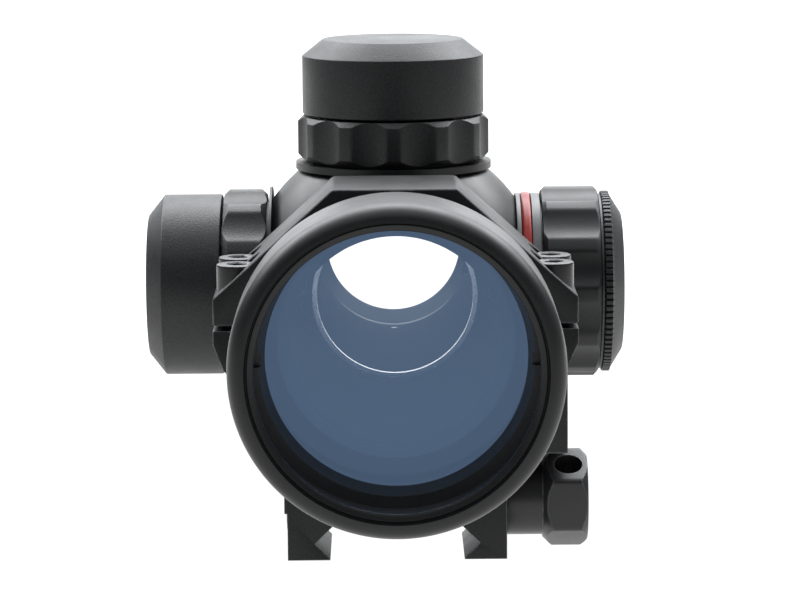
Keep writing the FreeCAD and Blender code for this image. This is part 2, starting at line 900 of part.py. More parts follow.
def inner_optics():
    glass = turned("inner_lens", [
        (0, dim("inner_lens_front")),
        (dim("inner_ring_radius"), dim("inner_lens_front")),
        (dim("inner_ring_radius"), dim("inner_lens_back")),
        (0, dim("inner_lens_back")),
    ])
    finish(glass, "inner_lens", FRONT_OF_TUBE, ALONG["sight"])
    ring = turned("inner_lens_ring", [
        (dim("inner_ring_bore"), dim("inner_ring_face")),
        (dim("inner_ring_radius"), dim("inner_ring_face")),
        (dim("inner_ring_radius"), dim("inner_lens_front") - dim("thread_gap")),
        (dim("inner_ring_bore"), dim("inner_lens_front") - dim("thread_gap")),
    ])
    finish(ring, "inner_lens_ring", FRONT_OF_TUBE, ALONG["sight"])


def pivots():
    pivot = dim("turret_station") + dim("pivot_arm")
    half = dim("pivot_ring_width") * 0.5
    gap = dim("thread_gap")
    hole = dim("pivot_pin_radius") + gap
    outer = dim("pivot_ring_outer")
    inner = dim("pivot_ring_inner")
    pin = dim("pivot_pin_radius")
    away = joined("pivot_away", [
        cylinder("pivot_hollow", inner, half * 2 + PAST * 2, (0, pivot - half - PAST, 0), "y"),
        cylinder("pivot_holes_x", hole, outer * 2 + PAST * 2, (-outer - PAST, pivot, 0), "x"),
        cylinder("pivot_holes_z", pin, outer * 2 + PAST * 2, (0, pivot, -outer - PAST), "z"),
    ])
    skin = cylinder("pivot_skin", outer, half * 2, (0, pivot - half, 0), "y")
    finish(less("pivot_ring", skin, away), "pivot_ring", FRONT_OF_TUBE)
    reach = dim("tube_radius") - inner
    outer_pins = joined("outer_pivot_pins", [
        cylinder("outer_pin_right", pin, reach, (inner, pivot, 0), "x"),
        cylinder("outer_pin_left", pin, reach, (-dim("tube_radius"), pivot, 0), "x"),
    ])
    finish(outer_pins, "outer_pivot_pins", FRONT_OF_TUBE)
    low = dim("inner_bore") + dim("run_gap")
    inner_pins = joined("inner_pivot_pins", [
        cylinder("inner_pin_top", pin, outer - low, (0, pivot, low), "z"),
        cylinder("inner_pin_bottom", pin, outer - low, (0, pivot, -outer), "z"),
    ])
    finish(inner_pins, "inner_pivot_pins", FRONT_OF_TUBE)


def emitter():
    start = dim("emitter_station")
    half = dim("emitter_width") * 0.5
    reach = dim("emitter_reach")
    shell = dim("inner_bore") - dim("thread_gap")
    body = shared("emitter_body", [
        block(
            "emitter_block", (reach, start, -half), (shell, start + dim("emitter_length"), half)
        ),
        cylinder("emitter_shell", shell, dim("emitter_length"), (0, start, 0), "y"),
    ])
    middle = (reach + shell) * 0.5
    hole = dim("diode_radius") + dim("thread_gap")
    pocket = cylinder("emitter_pocket", hole, dim("diode_length") + PAST, (middle, start - PAST, 0), "y")
    finish(less("emitter_holder", body, pocket), "emitter_holder", FRONT_OF_TUBE)
    length = dim("diode_length") - dim("thread_gap")
    diode = cylinder("emitter_diode", dim("diode_radius"), length, (middle, start, 0), "y")
    doc.recompute()
    base = (middle, start - dim("front_reach"), dim("axis_height"))
    finish(diode, "emitter_diode", base, AXES["y"])


def bias_springs():
    lift = coil(
        "lift_spring", dim("lift_coil_radius"), dim("lift_wire"),
        -dim("spring_pocket_depth") + dim("thread_gap"), -dim("lift_spring_top"), LIFT_TURNS,
    )
    finish(lift, "lift_spring", TURRET_CROSS)
    apex = dim("leaf_apex")
    curve = dim("leaf_curve")
    half = dim("leaf_width") * 0.5
    reach = dim("leaf_reach")
    centre = apex + curve
    strip = less(
        "leaf_strip",
        cylinder("leaf_outer", curve, half * 2, (centre, 0, -half), "z"),
        cylinder("leaf_inner", curve - dim("leaf_thickness"), half * 2, (centre, 0, -half), "z"),
    )
    window = block("leaf_window", (apex - PAST, -reach, -half), (dim("leaf_foot"), reach, half))
    finish(shared("side_spring", [strip, window]), "side_spring", TURRET_CROSS)


# ---------------------------------------------------------------- turrets


def scalloped(body):
    """Cut the finger scallops around a ring."""
    reach = dim("lock_ring_radius") - dim("scallop_depth") + dim("scallop_cutter")
    sketch = new_sketch(body, "XY_Plane")
    half_pitch = math.pi / DIMENSIONS["scallop_count"]
    disc(sketch, dim("scallop_cutter"), polar(reach, half_pitch - math.pi / 2))
    around(body, cut(body, sketch), dim("scallop_count"))


def turret(name, direction, flat):
    """One adjusting turret: base, lock ring, knob with its click ring, detent, clip, guide and spindle."""
    gap = dim("thread_gap")
    flange_bottom = flat + dim("flange_bottom")
    base = turned(name + "_base", [
        (dim("hub_radius") + dim("run_gap"), dim("turret_floor")),
        (dim("guide_radius") + gap, dim("turret_floor")),
        (dim("guide_radius") + gap, dim("guide_bottom")),
        (dim("port_radius"), dim("guide_bottom")),
        (dim("port_radius"), flange_bottom),
        (dim("flange_radius"), flange_bottom),
        (dim("flange_radius"), dim("saddle_top") + dim("flange_thickness")),
        (dim("neck_radius"), dim("saddle_top") + dim("flange_thickness")),
        (dim("neck_radius"), dim("neck_top")),
        (dim("post_radius"), dim("neck_top")),
        (dim("post_radius"), dim("post_top")),
        (dim("hub_radius") + dim("run_gap"), dim("post_top")),
    ])
    sketch = new_sketch(base, "YZ_Plane", dim("detent_hole_end"))
    disc(sketch, dim("detent_ball_radius") + gap, (0, dim("detent_height")))
    cut(base, sketch, dim("post_radius"), upward=True)
    finish(base, name + "_base", TURRET_CROSS, ALONG[direction])

    ring = turned(name + "_lock_ring", [
        (dim("neck_radius") + dim("run_gap"), dim("lock_ring_bottom")),
        (dim("lock_ring_radius"), dim("lock_ring_bottom")),
        (dim("lock_ring_radius"), dim("lock_ring_top")),
        (dim("neck_radius") + dim("run_gap"), dim("lock_ring_top")),
    ])
    soften(
        ring,
        [
            (dim("lock_ring_radius"), dim("lock_ring_bottom")),
            (dim("lock_ring_radius"), dim("lock_ring_top")),
        ],
        dim("lock_ring_bevel"),
        "Chamfer",
    )
    scalloped(ring)
    finish(ring, name + "_lock_ring", TURRET_CROSS, ALONG[direction])

    knob = turned(name + "_knob", [
        (dim("hub_bore"), dim("hub_bottom")),
        (dim("hub_radius"), dim("hub_bottom")),
        (dim("hub_radius"), dim("clip_bottom") - dim("thread_gap")),
        (dim("clip_groove_radius"), dim("clip_bottom") - dim("thread_gap")),
        (dim("clip_groove_radius"), dim("clip_bottom") + dim("clip_thickness") + gap),
        (dim("hub_radius"), dim("clip_bottom") + dim("clip_thickness") + gap),
        (dim("hub_radius"), dim("knob_cavity_top")),
        (dim("knob_cavity"), dim("knob_cavity_top")),
        (dim("knob_cavity"), dim("knob_bottom")),
        (dim("knob_radius"), dim("knob_bottom")),
        (dim("knob_radius"), dim("knob_bevel_start")),
        (dim("knob_face_radius"), dim("knob_top")),
        (0, dim("knob_top")),
        (0, dim("hub_bore_top")),
        (dim("hub_bore"), dim("hub_bore_top")),
    ])
    soften(
        knob,
        [(dim("knob_radius"), dim("knob_bevel_start")), (dim("knob_face_radius"), dim("knob_top"))],
        dim("knob_round"),
    )
    finish(knob, name + "_knob", TURRET_CROSS, ALONG[direction])

    clicks = turned(name + "_click_ring", [
        (dim("click_ring_bore"), dim("click_ring_bottom")),
        (dim("knob_cavity") - gap, dim("click_ring_bottom")),
        (dim("knob_cavity") - gap, dim("click_ring_top")),
        (dim("click_ring_bore"), dim("click_ring_top")),
    ])
    sketch = new_sketch(clicks, "XY_Plane")
    disc(sketch, dim("click_groove"), (dim("click_ring_bore"), 0))
    around(clicks, cut(clicks, sketch), dim("click_count"))
    finish(clicks, name + "_click_ring", TURRET_CROSS, ALONG[direction])

    small_parts(name, direction)


def turret_offset(direction, across, along):
    """The place of a point at a turret: its distance off the turret axis and along it."""
    station = dim("turret_station") - dim("front_reach")
    height = dim("axis_height")
    if direction == "up":
        return (across, station, height + along)
    if direction == "left":
        return (-along, station, height + across)
    return (along, station, height - across)


def small_parts(name, direction):
    """The pieces inside one turret."""
    gap = dim("thread_gap")
    ball_place = turret_offset(direction, dim("detent_ball_centre"), dim("detent_height"))
    bead = doc.addObject("Part::Sphere", name + "_detent_ball")
    bound(bead, Radius=dim("detent_ball_radius"))
    finish(bead, name + "_detent_ball", ball_place)

    spring = coil(
        name + "_detent_spring", dim("detent_coil_radius"), dim("detent_wire"),
        dim("detent_hole_end") + gap, dim("detent_ball_centre") - dim("detent_ball_radius") + gap,
        DETENT_TURNS,
    )
    turns = {
        "up": FreeCAD.Rotation(FreeCAD.Vector(0, 1, 0), 90),
        "left": FreeCAD.Rotation(),
    }
    finish(
        spring, name + "_detent_spring",
        turret_offset(direction, ZERO, dim("detent_height")), turns[direction],
    )

    clip = turned(name + "_clip", [
        (dim("clip_groove_radius") + gap, dim("clip_bottom")),
        (dim("clip_radius"), dim("clip_bottom")),
        (dim("clip_radius"), dim("clip_bottom") + dim("clip_thickness")),
        (dim("clip_groove_radius") + gap, dim("clip_bottom") + dim("clip_thickness")),
    ])
    sketch = new_sketch(clip, "XY_Plane")
    box_outline(sketch, (0, -dim("clip_half_mouth")), (dim("guide_radius"), dim("clip_half_mouth")))
    cut(clip, sketch)
    finish(clip, name + "_clip", TURRET_CROSS, ALONG[direction])

    guide = turned(name + "_guide", [
        (dim("spindle_half_flat"), dim("guide_bottom")),
        (dim("guide_radius"), dim("guide_bottom")),
        (dim("guide_radius"), dim("guide_top")),
        (dim("spindle_half_flat"), dim("guide_top")),
    ])
    sketch = new_sketch(guide, "XY_Plane")
    wide = dim("spindle_radius") + gap
    narrow = dim("spindle_half_flat") + gap
    box_outline(sketch, (-wide, -narrow), (wide, narrow))
    cut(guide, sketch)
    finish(guide, name + "_guide", TURRET_CROSS, ALONG[direction])

    spindle = turned(name + "_spindle", [
        (0, dim("spindle_tip")),
        (dim("spindle_radius"), dim("spindle_tip")),
        (dim("spindle_radius"), dim("spindle_top")),
        (0, dim("spindle_top")),
    ])
    sketch = new_sketch(spindle, "XY_Plane", dim("spindle_tip"))
    far = dim("spindle_radius") + PAST
    flat = dim("spindle_half_flat")
    box_outline(sketch, (-far, flat), (far, far))
    box_outline(sketch, (-far, -far), (far, -flat))
    cut(spindle, sketch, dim("spindle_key_top") - dim("spindle_tip"))
    finish(spindle, name + "_spindle", TURRET_CROSS, ALONG[direction])


# ---------------------------------------------------------------- brightness dial


def switch_housing():
    body = turned("switch_housing", [
        (0, dim("switch_spigot_floor")),
        (dim("switch_spigot_bore"), dim("switch_spigot_floor")),
        (dim("switch_spigot_bore"), dim("switch_spigot_start")),
        (dim("side_port_radius"), dim("switch_spigot_start")),
        (dim("side_port_radius"), dim("switch_flange_start")),
        (dim("switch_radius"), dim("switch_flange_start")),
        (dim("switch_radius"), dim("accent_start")),
        (dim("accent_groove"), dim("accent_start")),
        (dim("accent_groove"), dim("accent_end")),
        (dim("switch_radius"), dim("accent_end")),
        (dim("switch_radius"), dim("switch_flange_end")),
        (dim("switch_neck_radius"), dim("switch_flange_end")),
        (dim("switch_neck_radius"), dim("retainer_start") - dim("thread_gap")),
        (dim("retainer_groove"), dim("retainer_start") - dim("thread_gap")),
        (dim("retainer_groove"), dim("retainer_start") + dim("retainer_thickness") + dim("thread_gap")),
        (dim("switch_neck_radius"), dim("retainer_start") + dim("retainer_thickness") + dim("thread_gap")),
        (dim("switch_neck_radius"), dim("switch_neck_end")),
        (dim("switch_cavity"), dim("switch_neck_end")),
        (dim("switch_cavity"), dim("switch_floor")),
        (0, dim("switch_floor")),
    ])
    sketch = new_sketch(body, "XY_Plane")
    disc(sketch, dim("wire_hole_radius"), (0, dim("wire_hole_offset")))
    cut(body, sketch)
    finish(body, "switch_housing", TURRET_CROSS, ALONG["right"])


def accent_ring():
    body = turned("accent_ring", [
        (dim("accent_groove") + dim("thread_gap"), dim("accent_start") + dim("thread_gap")),
        (dim("accent_radius"), dim("accent_start") + dim("thread_gap")),
        (dim("accent_radius"), dim("accent_end") - dim("thread_gap")),
        (dim("accent_groove") + dim("thread_gap"), dim("accent_end") - dim("thread_gap")),
    ])
    soften(
        body,
        [
            (dim("accent_radius"), dim("accent_start") + dim("thread_gap")),
            (dim("accent_radius"), dim("accent_end") - dim("thread_gap")),
        ],
        dim("edge_bevel"),
    )
    finish(body, "accent_ring", TURRET_CROSS, ALONG["right"])


def brightness_knob():
    body = turned("brightness_knob", [
        (dim("switch_neck_radius") + dim("run_gap"), dim("dial_start")),
        (dim("dial_radius"), dim("dial_start")),
        (dim("dial_radius"), dim("dial_end")),
        (dim("dial_thread_radius"), dim("dial_end")),
        (dim("dial_thread_radius"), dim("dial_thread_start")),
        (dim("dial_battery_bore"), dim("dial_thread_start")),
        (dim("dial_battery_bore"), dim("dial_web_end")),
        (dim("dial_hole_radius"), dim("dial_web_end")),
        (dim("dial_hole_radius"), dim("dial_web_start")),
        (dim("dial_relief"), dim("dial_web_start")),
        (dim("dial_relief"), dim("dial_relief_start")),
        (dim("switch_neck_radius") + dim("run_gap"), dim("dial_relief_start")),
    ])
    soften(
        body,
        [(dim("dial_radius"), dim("dial_start")), (dim("dial_radius"), dim("dial_end"))],
        dim("dial_bevel"),
        "Chamfer",
    )
    scalloped(body)
    finish(body, "brightness_knob", TURRET_CROSS, ALONG["right"])


def dial_hardware():
    gap = dim("thread_gap")
    clip = turned("knob_clip", [
        (dim("retainer_groove") + gap, dim("retainer_start")),
        (dim("retainer_radius"), dim("retainer_start")),
        (dim("retainer_radius"), dim("retainer_start") + dim("retainer_thickness")),
        (dim("retainer_groove") + gap, dim("retainer_start") + dim("retainer_thickness")),
    ])
    sketch = new_sketch(clip, "XY_Plane")
    half = dim("spindle_radius")
    box_outline(sketch, (0, -half), (dim("dial_radius"), half))
    cut(clip, sketch)
    finish(clip, "knob_clip", TURRET_CROSS, ALONG["right"])

    collar = turned("cap_collar", [
        (dim("collar_bore"), dim("collar_start")),
        (dim("collar_radius"), dim("collar_start")),
        (dim("collar_radius"), dim("collar_end")),
        (dim("collar_bore"), dim("collar_end")),
    ])
    soften(
        collar,
        [(dim("collar_radius"), dim("collar_start")), (dim("collar_radius"), dim("collar_end"))],
        dim("edge_bevel") * 0.5,
    )
    finish(collar, "cap_collar", TURRET_CROSS, ALONG["right"])

    board = turned("switch_board", [
        (0, dim("board_start")),
        (dim("board_radius"), dim("board_start")),
        (dim("board_radius"), dim("board_start") + dim("board_thickness")),
        (0, dim("board_start") + dim("board_thickness")),
    ])
    hole = new_sketch(board, "XY_Plane")
    disc(hole, dim("dial_ball_radius") + gap, (dim("dial_ball_offset"), 0))
    cut(board, hole)
    finish(board, "switch_board", TURRET_CROSS, ALONG["right"])

    rotor_end = dim("rotor_start") + dim("rotor_thickness")
    rotor = turned("switch_rotor", [
        (0, dim("rotor_start")),
        (dim("rotor_radius"), dim("rotor_start")),
        (dim("rotor_radius"), rotor_end),
        (dim("dial_hole_radius") - gap, rotor_end),
        (dim("dial_hole_radius") - gap, dim("dial_web_end")),
        (0, dim("dial_web_end")),
    ])
    sketch = new_sketch(rotor, "XY_Plane")
    disc(sketch, dim("click_groove"), (dim("dial_ball_offset"), 0))
    around(rotor, cut(rotor, sketch, dim("rotor_start") + dim("rotor_pocket")), dim("scallop_count"))
    finish(rotor, "switch_rotor", TURRET_CROSS, ALONG["right"])


def battery_parts():
    gap = dim("thread_gap")
    cap = turned("battery_cap", [
        (dim("cap_recess"), dim("cap_spigot_start")),
        (dim("cap_spigot_radius"), dim("cap_spigot_start")),
        (dim("cap_spigot_radius"), dim("cap_groove_start")),
        (dim("cap_groove_radius"), dim("cap_groove_start")),
        (dim("cap_groove_radius"), dim("cap_groove_end")),
        (dim("cap_spigot_radius"), dim("cap_groove_end")),
        (dim("cap_spigot_radius"), dim("cap_start")),
        (dim("cap_radius"), dim("cap_start")),
        (dim("cap_radius"), dim("cap_rim_end")),
        (dim("cap_rim_land"), dim("cap_rim_end")),
        (dim("cap_face_radius"), dim("cap_end")),
        (0, dim("cap_end")),
        (0, dim("cap_floor")),
        (dim("cap_recess"), dim("cap_floor")),
    ])
    slot = new_sketch(body=cap, role="XY_Plane", lift=dim("cap_end"))
    wide = dim("cap_slot_length") * 0.5
    narrow = dim("cap_slot_width") * 0.5
    box_outline(slot, (-wide, -narrow), (wide, narrow))
    cut(cap, slot, dim("cap_slot_depth"), upward=False)
    knurl = new_sketch(cap, "XY_Plane", dim("cap_start"))
    bottom = dim("cap_radius") - dim("knurl_depth")
    outline(knurl, [
        (bottom, 0),
        (dim("cap_radius") + dim("knurl_depth"), dim("knurl_half_width")),
        (dim("cap_radius") + dim("knurl_depth"), -dim("knurl_half_width")),
    ])
    around(cap, cut(cap, knurl, dim("cap_rim_end") - dim("cap_start")), dim("knurl_count"))
    finish(cap, "battery_cap", TURRET_CROSS, ALONG["right"])

    seal = hoop("battery_cap_seal", dim("cap_seal_radius"), dim("cap_seal_section"), (0, 0, 0))
    seal_base = (dim("cap_seal_station"), TURRET_CROSS[1], TURRET_CROSS[2])
    finish(seal, "battery_cap_seal", seal_base, ALONG["right"])

    cell = turned("coin_cell", [
        (0, dim("cell_start")),
        (dim("cell_face_radius"), dim("cell_start")),
        (dim("cell_face_radius"), dim("cell_start") + dim("cell_step")),
        (dim("cell_radius"), dim("cell_start") + dim("cell_step")),
        (dim("cell_radius"), dim("cell_start") + dim("cell_thickness")),
        (0, dim("cell_start") + dim("cell_thickness")),
    ])
    finish(cell, "coin_cell", TURRET_CROSS, ALONG["right"])

    contact = coil(
        "contact_spring", dim("contact_radius"), dim("contact_wire"),
        dim("dial_web_end") + gap, dim("cell_start") - gap, CONTACT_TURNS,
    )
    finish(contact, "contact_spring", TURRET_CROSS, ALONG["right"])


def dial_detent():
    """The ball and spring that click the dial: the ball stands in a hole through the board."""
    gap = dim("thread_gap")
    height = TURRET_CROSS[2] - dim("dial_ball_offset")
    ball_place = (
        dim("rotor_start") - dim("dial_ball_radius") - gap,
        TURRET_CROSS[1],
        height,
    )
    bead = doc.addObject("Part::Sphere", "switch_detent_ball")
    bound(bead, Radius=dim("dial_ball_radius"))
    finish(bead, "switch_detent_ball", ball_place)
    spring = coil(
        "switch_detent_spring", dim("dial_coil_radius"), dim("detent_wire"),
        dim("switch_floor") + gap, dim("rotor_start") - dim("dial_ball_radius") * 2 - gap * 2,
        DIAL_DETENT_TURNS,
    )
    finish(spring, "switch_detent_spring", (ZERO, TURRET_CROSS[1], height), ALONG["right"])


# ---------------------------------------------------------------- ring mount

MOUNT_MIDDLE = (ZERO, ZERO, dim("axis_height"))
CORNER_SIGNS = ((-1, -1), (-1, 1), (1, -1), (1, 1))


def screw_centre(x_sign, y_sign):
    return (dim("screw_half_spacing") * x_sign, dim("screw_half_pitch") * y_sign)


def bore_through(body):
    """Cut the ring's bore along the sight line."""
    sketch = new_sketch(body, "XZ_Plane", -dim("mount_width"))
    disc(sketch, dim("tube_radius") + dim("thread_gap"))
    cut(body, sketch)


def ring_cap():
    ear = dim("ear_half_width")
    flat = dim("plateau_half_width")
    body = padded("ring_cap", "XZ_Plane", [
        (-ear, dim("split_gap")),
        (ear, dim("split_gap")),
        (ear, dim("ear_top")),
        (flat, dim("plateau_height")),
        (-flat, dim("plateau_height")),
        (-ear, dim("ear_top")),
    ], dim("mount_width"))
    floor = dim("split_gap").value
    bevel_straight_edges(body, lambda edge: edge.BoundBox.ZMax > floor + ON_FACE, dim("edge_bevel"))
    bore_through(body)
    seats = new_sketch(body, "XY_Plane", dim("screw_seat"))
    holes = new_sketch(body, "XY_Plane")
    for signs in CORNER_SIGNS:
        disc(seats, dim("screw_counterbore"), screw_centre(*signs))
        disc(holes, dim("screw_clearance_radius"), screw_centre(*signs))
    cut(body, seats)
    cut(body, holes)
    finish(body, "ring_cap", MOUNT_MIDDLE)


def mount_base():
    ear = dim("ear_half_width")
    seat = dim("axis_height")
    side = dim("side_step_half_width")
    jaw = dim("jaw_half_width")
    body = padded("mount_base", "XZ_Plane", [
        (-ear, -dim("split_gap")),
        (-ear, -dim("ear_drop")),
        (-dim("ear_taper_half_width"), -dim("ear_taper_bottom")),
        (-side, -dim("flank_knee_height")),
        (-side, -dim("side_step_height")),
        (-jaw, -dim("side_step_height")),
        (-jaw, -dim("jaw_bottom") + dim("jaw_corner")),
        (-jaw + dim("jaw_corner"), -dim("jaw_bottom")),
        (-dim("rail_tip_half"), -dim("jaw_bottom")),
        (-dim("rail_tip_half"), -dim("tip_top")),
        (-dim("rail_groove_half"), -dim("groove_line")),
        (-dim("seat_half_width"), -seat),
        (dim("jaw_split"), -seat),
        (dim("jaw_split"), -dim("jaw_top")),
        (dim("shoulder_root"), -dim("jaw_top")),
        (dim("shoulder_root"), -dim("shoulder_bottom")),
        (dim("shoulder_half_width"), -dim("shoulder_bottom")),
        (dim("shoulder_half_width"), -dim("ear_taper_bottom")),
        (ear, -dim("ear_drop")),
        (ear, -dim("split_gap")),
    ], dim("mount_width"))
    low = -dim("flank_knee_height").value - ON_FACE
    high = -dim("split_gap").value - ON_FACE
    inside = jaw.value - PAST

    def outside(edge):
        box = edge.BoundBox
        in_face = box.YLength < ON_FACE
        return in_face and box.ZMin > low and box.ZMin < high and abs(box.Center.x) > inside

    bevel_straight_edges(body, outside, dim("edge_bevel"))
    bore_through(body)
    threads = new_sketch(body, "XY_Plane")
    for signs in CORNER_SIGNS:
        disc(threads, dim("screw_radius"), screw_centre(*signs))
    cut(body, threads, dim("screw_hole_bottom"), upward=False)
    bolt = new_sketch(body, "YZ_Plane", -dim("ear_half_width"))
    disc(bolt, dim("bolt_hole_radius"), (0, -dim("bolt_drop")))
    cut(body, bolt)
    head = new_sketch(body, "YZ_Plane", -dim("side_step_half_width") + dim("bolt_head_depth"))
    disc(head, dim("bolt_head_radius") + dim("run_gap"), (0, -dim("bolt_drop")))
    cut(body, head, upward=False)
    pins = new_sketch(body, "YZ_Plane", dim("pin_start"))
    for sign in (-1, 1):
        disc(pins, dim("pin_radius"), (dim("pin_offset") * sign, -dim("pin_drop")))
    cut(body, pins, dim("jaw_split") - dim("pin_start") + PAST)
    finish(body, "mount_base", MOUNT_MIDDLE)


def clamp_jaw():
    jaw = dim("jaw_half_width")
    body = padded("clamp_jaw", "XZ_Plane", [
        (dim("jaw_inner"), -dim("jaw_top") - dim("jaw_top_gap")),
        (jaw, -dim("jaw_top") - dim("jaw_top_gap")),
        (jaw, -dim("jaw_bottom")),
        (dim("rail_tip_half"), -dim("jaw_bottom")),
        (dim("rail_tip_half"), -dim("tip_top")),
        (dim("rail_groove_half"), -dim("groove_line")),
        (dim("seat_half_width"), -dim("axis_height") + dim("thread_gap")),
        (dim("jaw_inner"), -dim("axis_height") + dim("thread_gap")),
    ], dim("mount_width"))
    side = jaw.value - ON_FACE
    bevel_straight_edges(body, lambda edge: edge.BoundBox.XMin > side, dim("edge_bevel"))
    holes = new_sketch(body, "YZ_Plane")
    disc(holes, dim("bolt_hole_radius"), (0, -dim("bolt_drop")))
    for sign in (-1, 1):
        disc(holes, dim("pin_radius") + dim("run_gap"), (dim("pin_offset") * sign, -dim("pin_drop")))
    cut(body, holes)
    finish(body, "clamp_jaw", MOUNT_MIDDLE)


def jaw_pins():
    length = dim("pin_end") - dim("pin_start")
    pins = joined("jaw_pins", [
        cylinder("jaw_pin_front", dim("pin_radius"), length,
                 (dim("pin_start"), -dim("pin_offset"), -dim("pin_drop")), "x"),
        cylinder("jaw_pin_back", dim("pin_radius"), length,
                 (dim("pin_start"), dim("pin_offset"), -dim("pin_drop")), "x"),
    ])
    finish(pins, "jaw_pins", MOUNT_MIDDLE)


def cross_bolt():
    head_start = -dim("side_step_half_width") + dim("bolt_head_recess")
    head_end = -dim("side_step_half_width") + dim("bolt_head_depth") - dim("thread_gap")
    body = turned("cross_bolt", [
        (0, head_start),
        (dim("bolt_head_radius"), head_start),
        (dim("bolt_head_radius"), head_end),
        (dim("bolt_radius"), head_end),
        (dim("bolt_radius"), dim("bolt_end")),
        (0, dim("bolt_end")),
    ])
    slot = new_sketch(body, "XY_Plane", head_start)
    half = dim("spanner_slot") * 0.5
    box_outline(slot, (-dim("cut_reach"), -half), (dim("cut_reach"), half))
    cut(body, slot, dim("bolt_slot_depth"))
    finish(body, "cross_bolt", BOLT_LINE, ALONG["right"])


def clamp_knob():
    """The hexagon nut with its collar, threaded bore and tommy-bar hole."""
    start = dim("clamp_collar_start")
    end = dim("hex_end")
    blank = turned("clamp_knob_blank", [
        (0, start),
        (dim("clamp_collar_radius"), start),
        (dim("clamp_collar_radius"), dim("hex_start")),
        (dim("hex_corner") - dim("hex_back_bevel"), dim("hex_start")),
        (dim("hex_corner"), dim("hex_start") + dim("hex_back_bevel")),
        (dim("hex_corner"), end - dim("hex_bevel")),
        (dim("hex_corner") - dim("hex_bevel"), end),
        (0, end),
    ])
    prism = new_body("clamp_knob_prism")
    sketch = new_sketch(prism, "XY_Plane")
    hexagon(sketch, dim("hex_half_flat"))
    pad = prism.newObject("PartDesign::Pad", "clamp_knob_prism_pad")
    pad.Profile = sketch
    pad.Length = (end + PAST).value
    pad.setExpression("Length", (end + PAST).text)
    doc.recompute()
    solid = shared("clamp_knob_solid", [blank, prism])
    bore = cylinder("clamp_knob_bore", dim("bolt_hole_radius"), dim("clamp_bore_end"), (0, 0, 0))
    cross = doc.addObject("Part::Cylinder", "clamp_knob_cross_hole")
    bound(cross, Radius=dim("cross_hole_radius"), Height=dim("cut_reach") * 2)
    angle = math.radians(CROSS_HOLE_FLAT)
    facet = FreeCAD.Vector(math.cos(angle), math.sin(angle), 0)
    turn = FreeCAD.Rotation(FreeCAD.Vector(0, 0, 1), facet)
    across, along = polar(dim("cut_reach"), angle + math.pi)
    place(cross, (across, along, dim("cross_hole_station")), turn)
    away = joined("clamp_knob_away", [bore, cross])
    finish(less("clamp_knob", solid, away), "clamp_knob", BOLT_LINE, ALONG["right"])


def ring_screw(number, signs):
    """One socket head screw, its head on the seat of the ring cap."""
    label = "ring_screw_%d" % number
    seat = dim("screw_seat") + dim("head_gap")
    top = seat + dim("screw_head_height")
    body = turned(label, [
        (0, -dim("screw_bottom")),
        (dim("screw_radius"), -dim("screw_bottom")),
        (dim("screw_radius"), seat),
        (dim("screw_head_radius"), seat),
        (dim("screw_head_radius"), top),
        (0, top),
    ])
    soften(body, [(dim("screw_head_radius"), top)], dim("edge_bevel"), "Chamfer")
    socket = new_sketch(body, "XY_Plane", top)
    hexagon(socket, dim("hex_key") * 0.5)
    cut(body, socket, dim("hex_key_depth"), upward=False)
    across, along = screw_centre(*signs)
    return place(body, (across, along, ZERO))


def ring_screws():
    group = doc.addObject("Part::Compound", "ring_screws")
    group.Links = [ring_screw(number, signs) for number, signs in enumerate(CORNER_SIGNS, start=1)]
    doc.recompute()
    finish(group, "ring_screws", MOUNT_MIDDLE)


# ---------------------------------------------------------------- build, check and write


def check_document():
    for item in doc.Objects:
        for word in item.State:
            if word in ("Invalid", "Error"):
                raise RuntimeError("%s is %s" % (item.Label, word))
    for item in PARTS:
        if item.Shape.isNull() or not item.Shape.isValid():
            raise RuntimeError("%s has a bad shape" % item.Label)


def write_parts():
    os.makedirs("parts", exist_ok=True)
    for item in PARTS:
        item.Shape.exportStep(os.path.join("parts", item.Label + ".step"))


objective_bell()
objective_lenses()
objective_retaining_ring()
objective_seal()
main_tube()
eyepiece_housing()
eyepiece_optics()
inner_tube()
inner_optics()
pivots()
emitter()
bias_springs()
turret("elevation", "up", dim("saddle_top"))
turret("windage", "left", dim("saddle_side"))
switch_housing()
accent_ring()
brightness_knob()
dial_hardware()
battery_parts()
dial_detent()
ring_cap()
mount_base()
clamp_jaw()
jaw_pins()
cross_bolt()
clamp_knob()
ring_screws()
doc.recompute()
check_document()
write_parts()
print("%d sub-parts written" % len(PARTS))
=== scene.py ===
import itertools
import math

import bpy
import bmesh
import numpy as np
from mathutils import Matrix, Vector


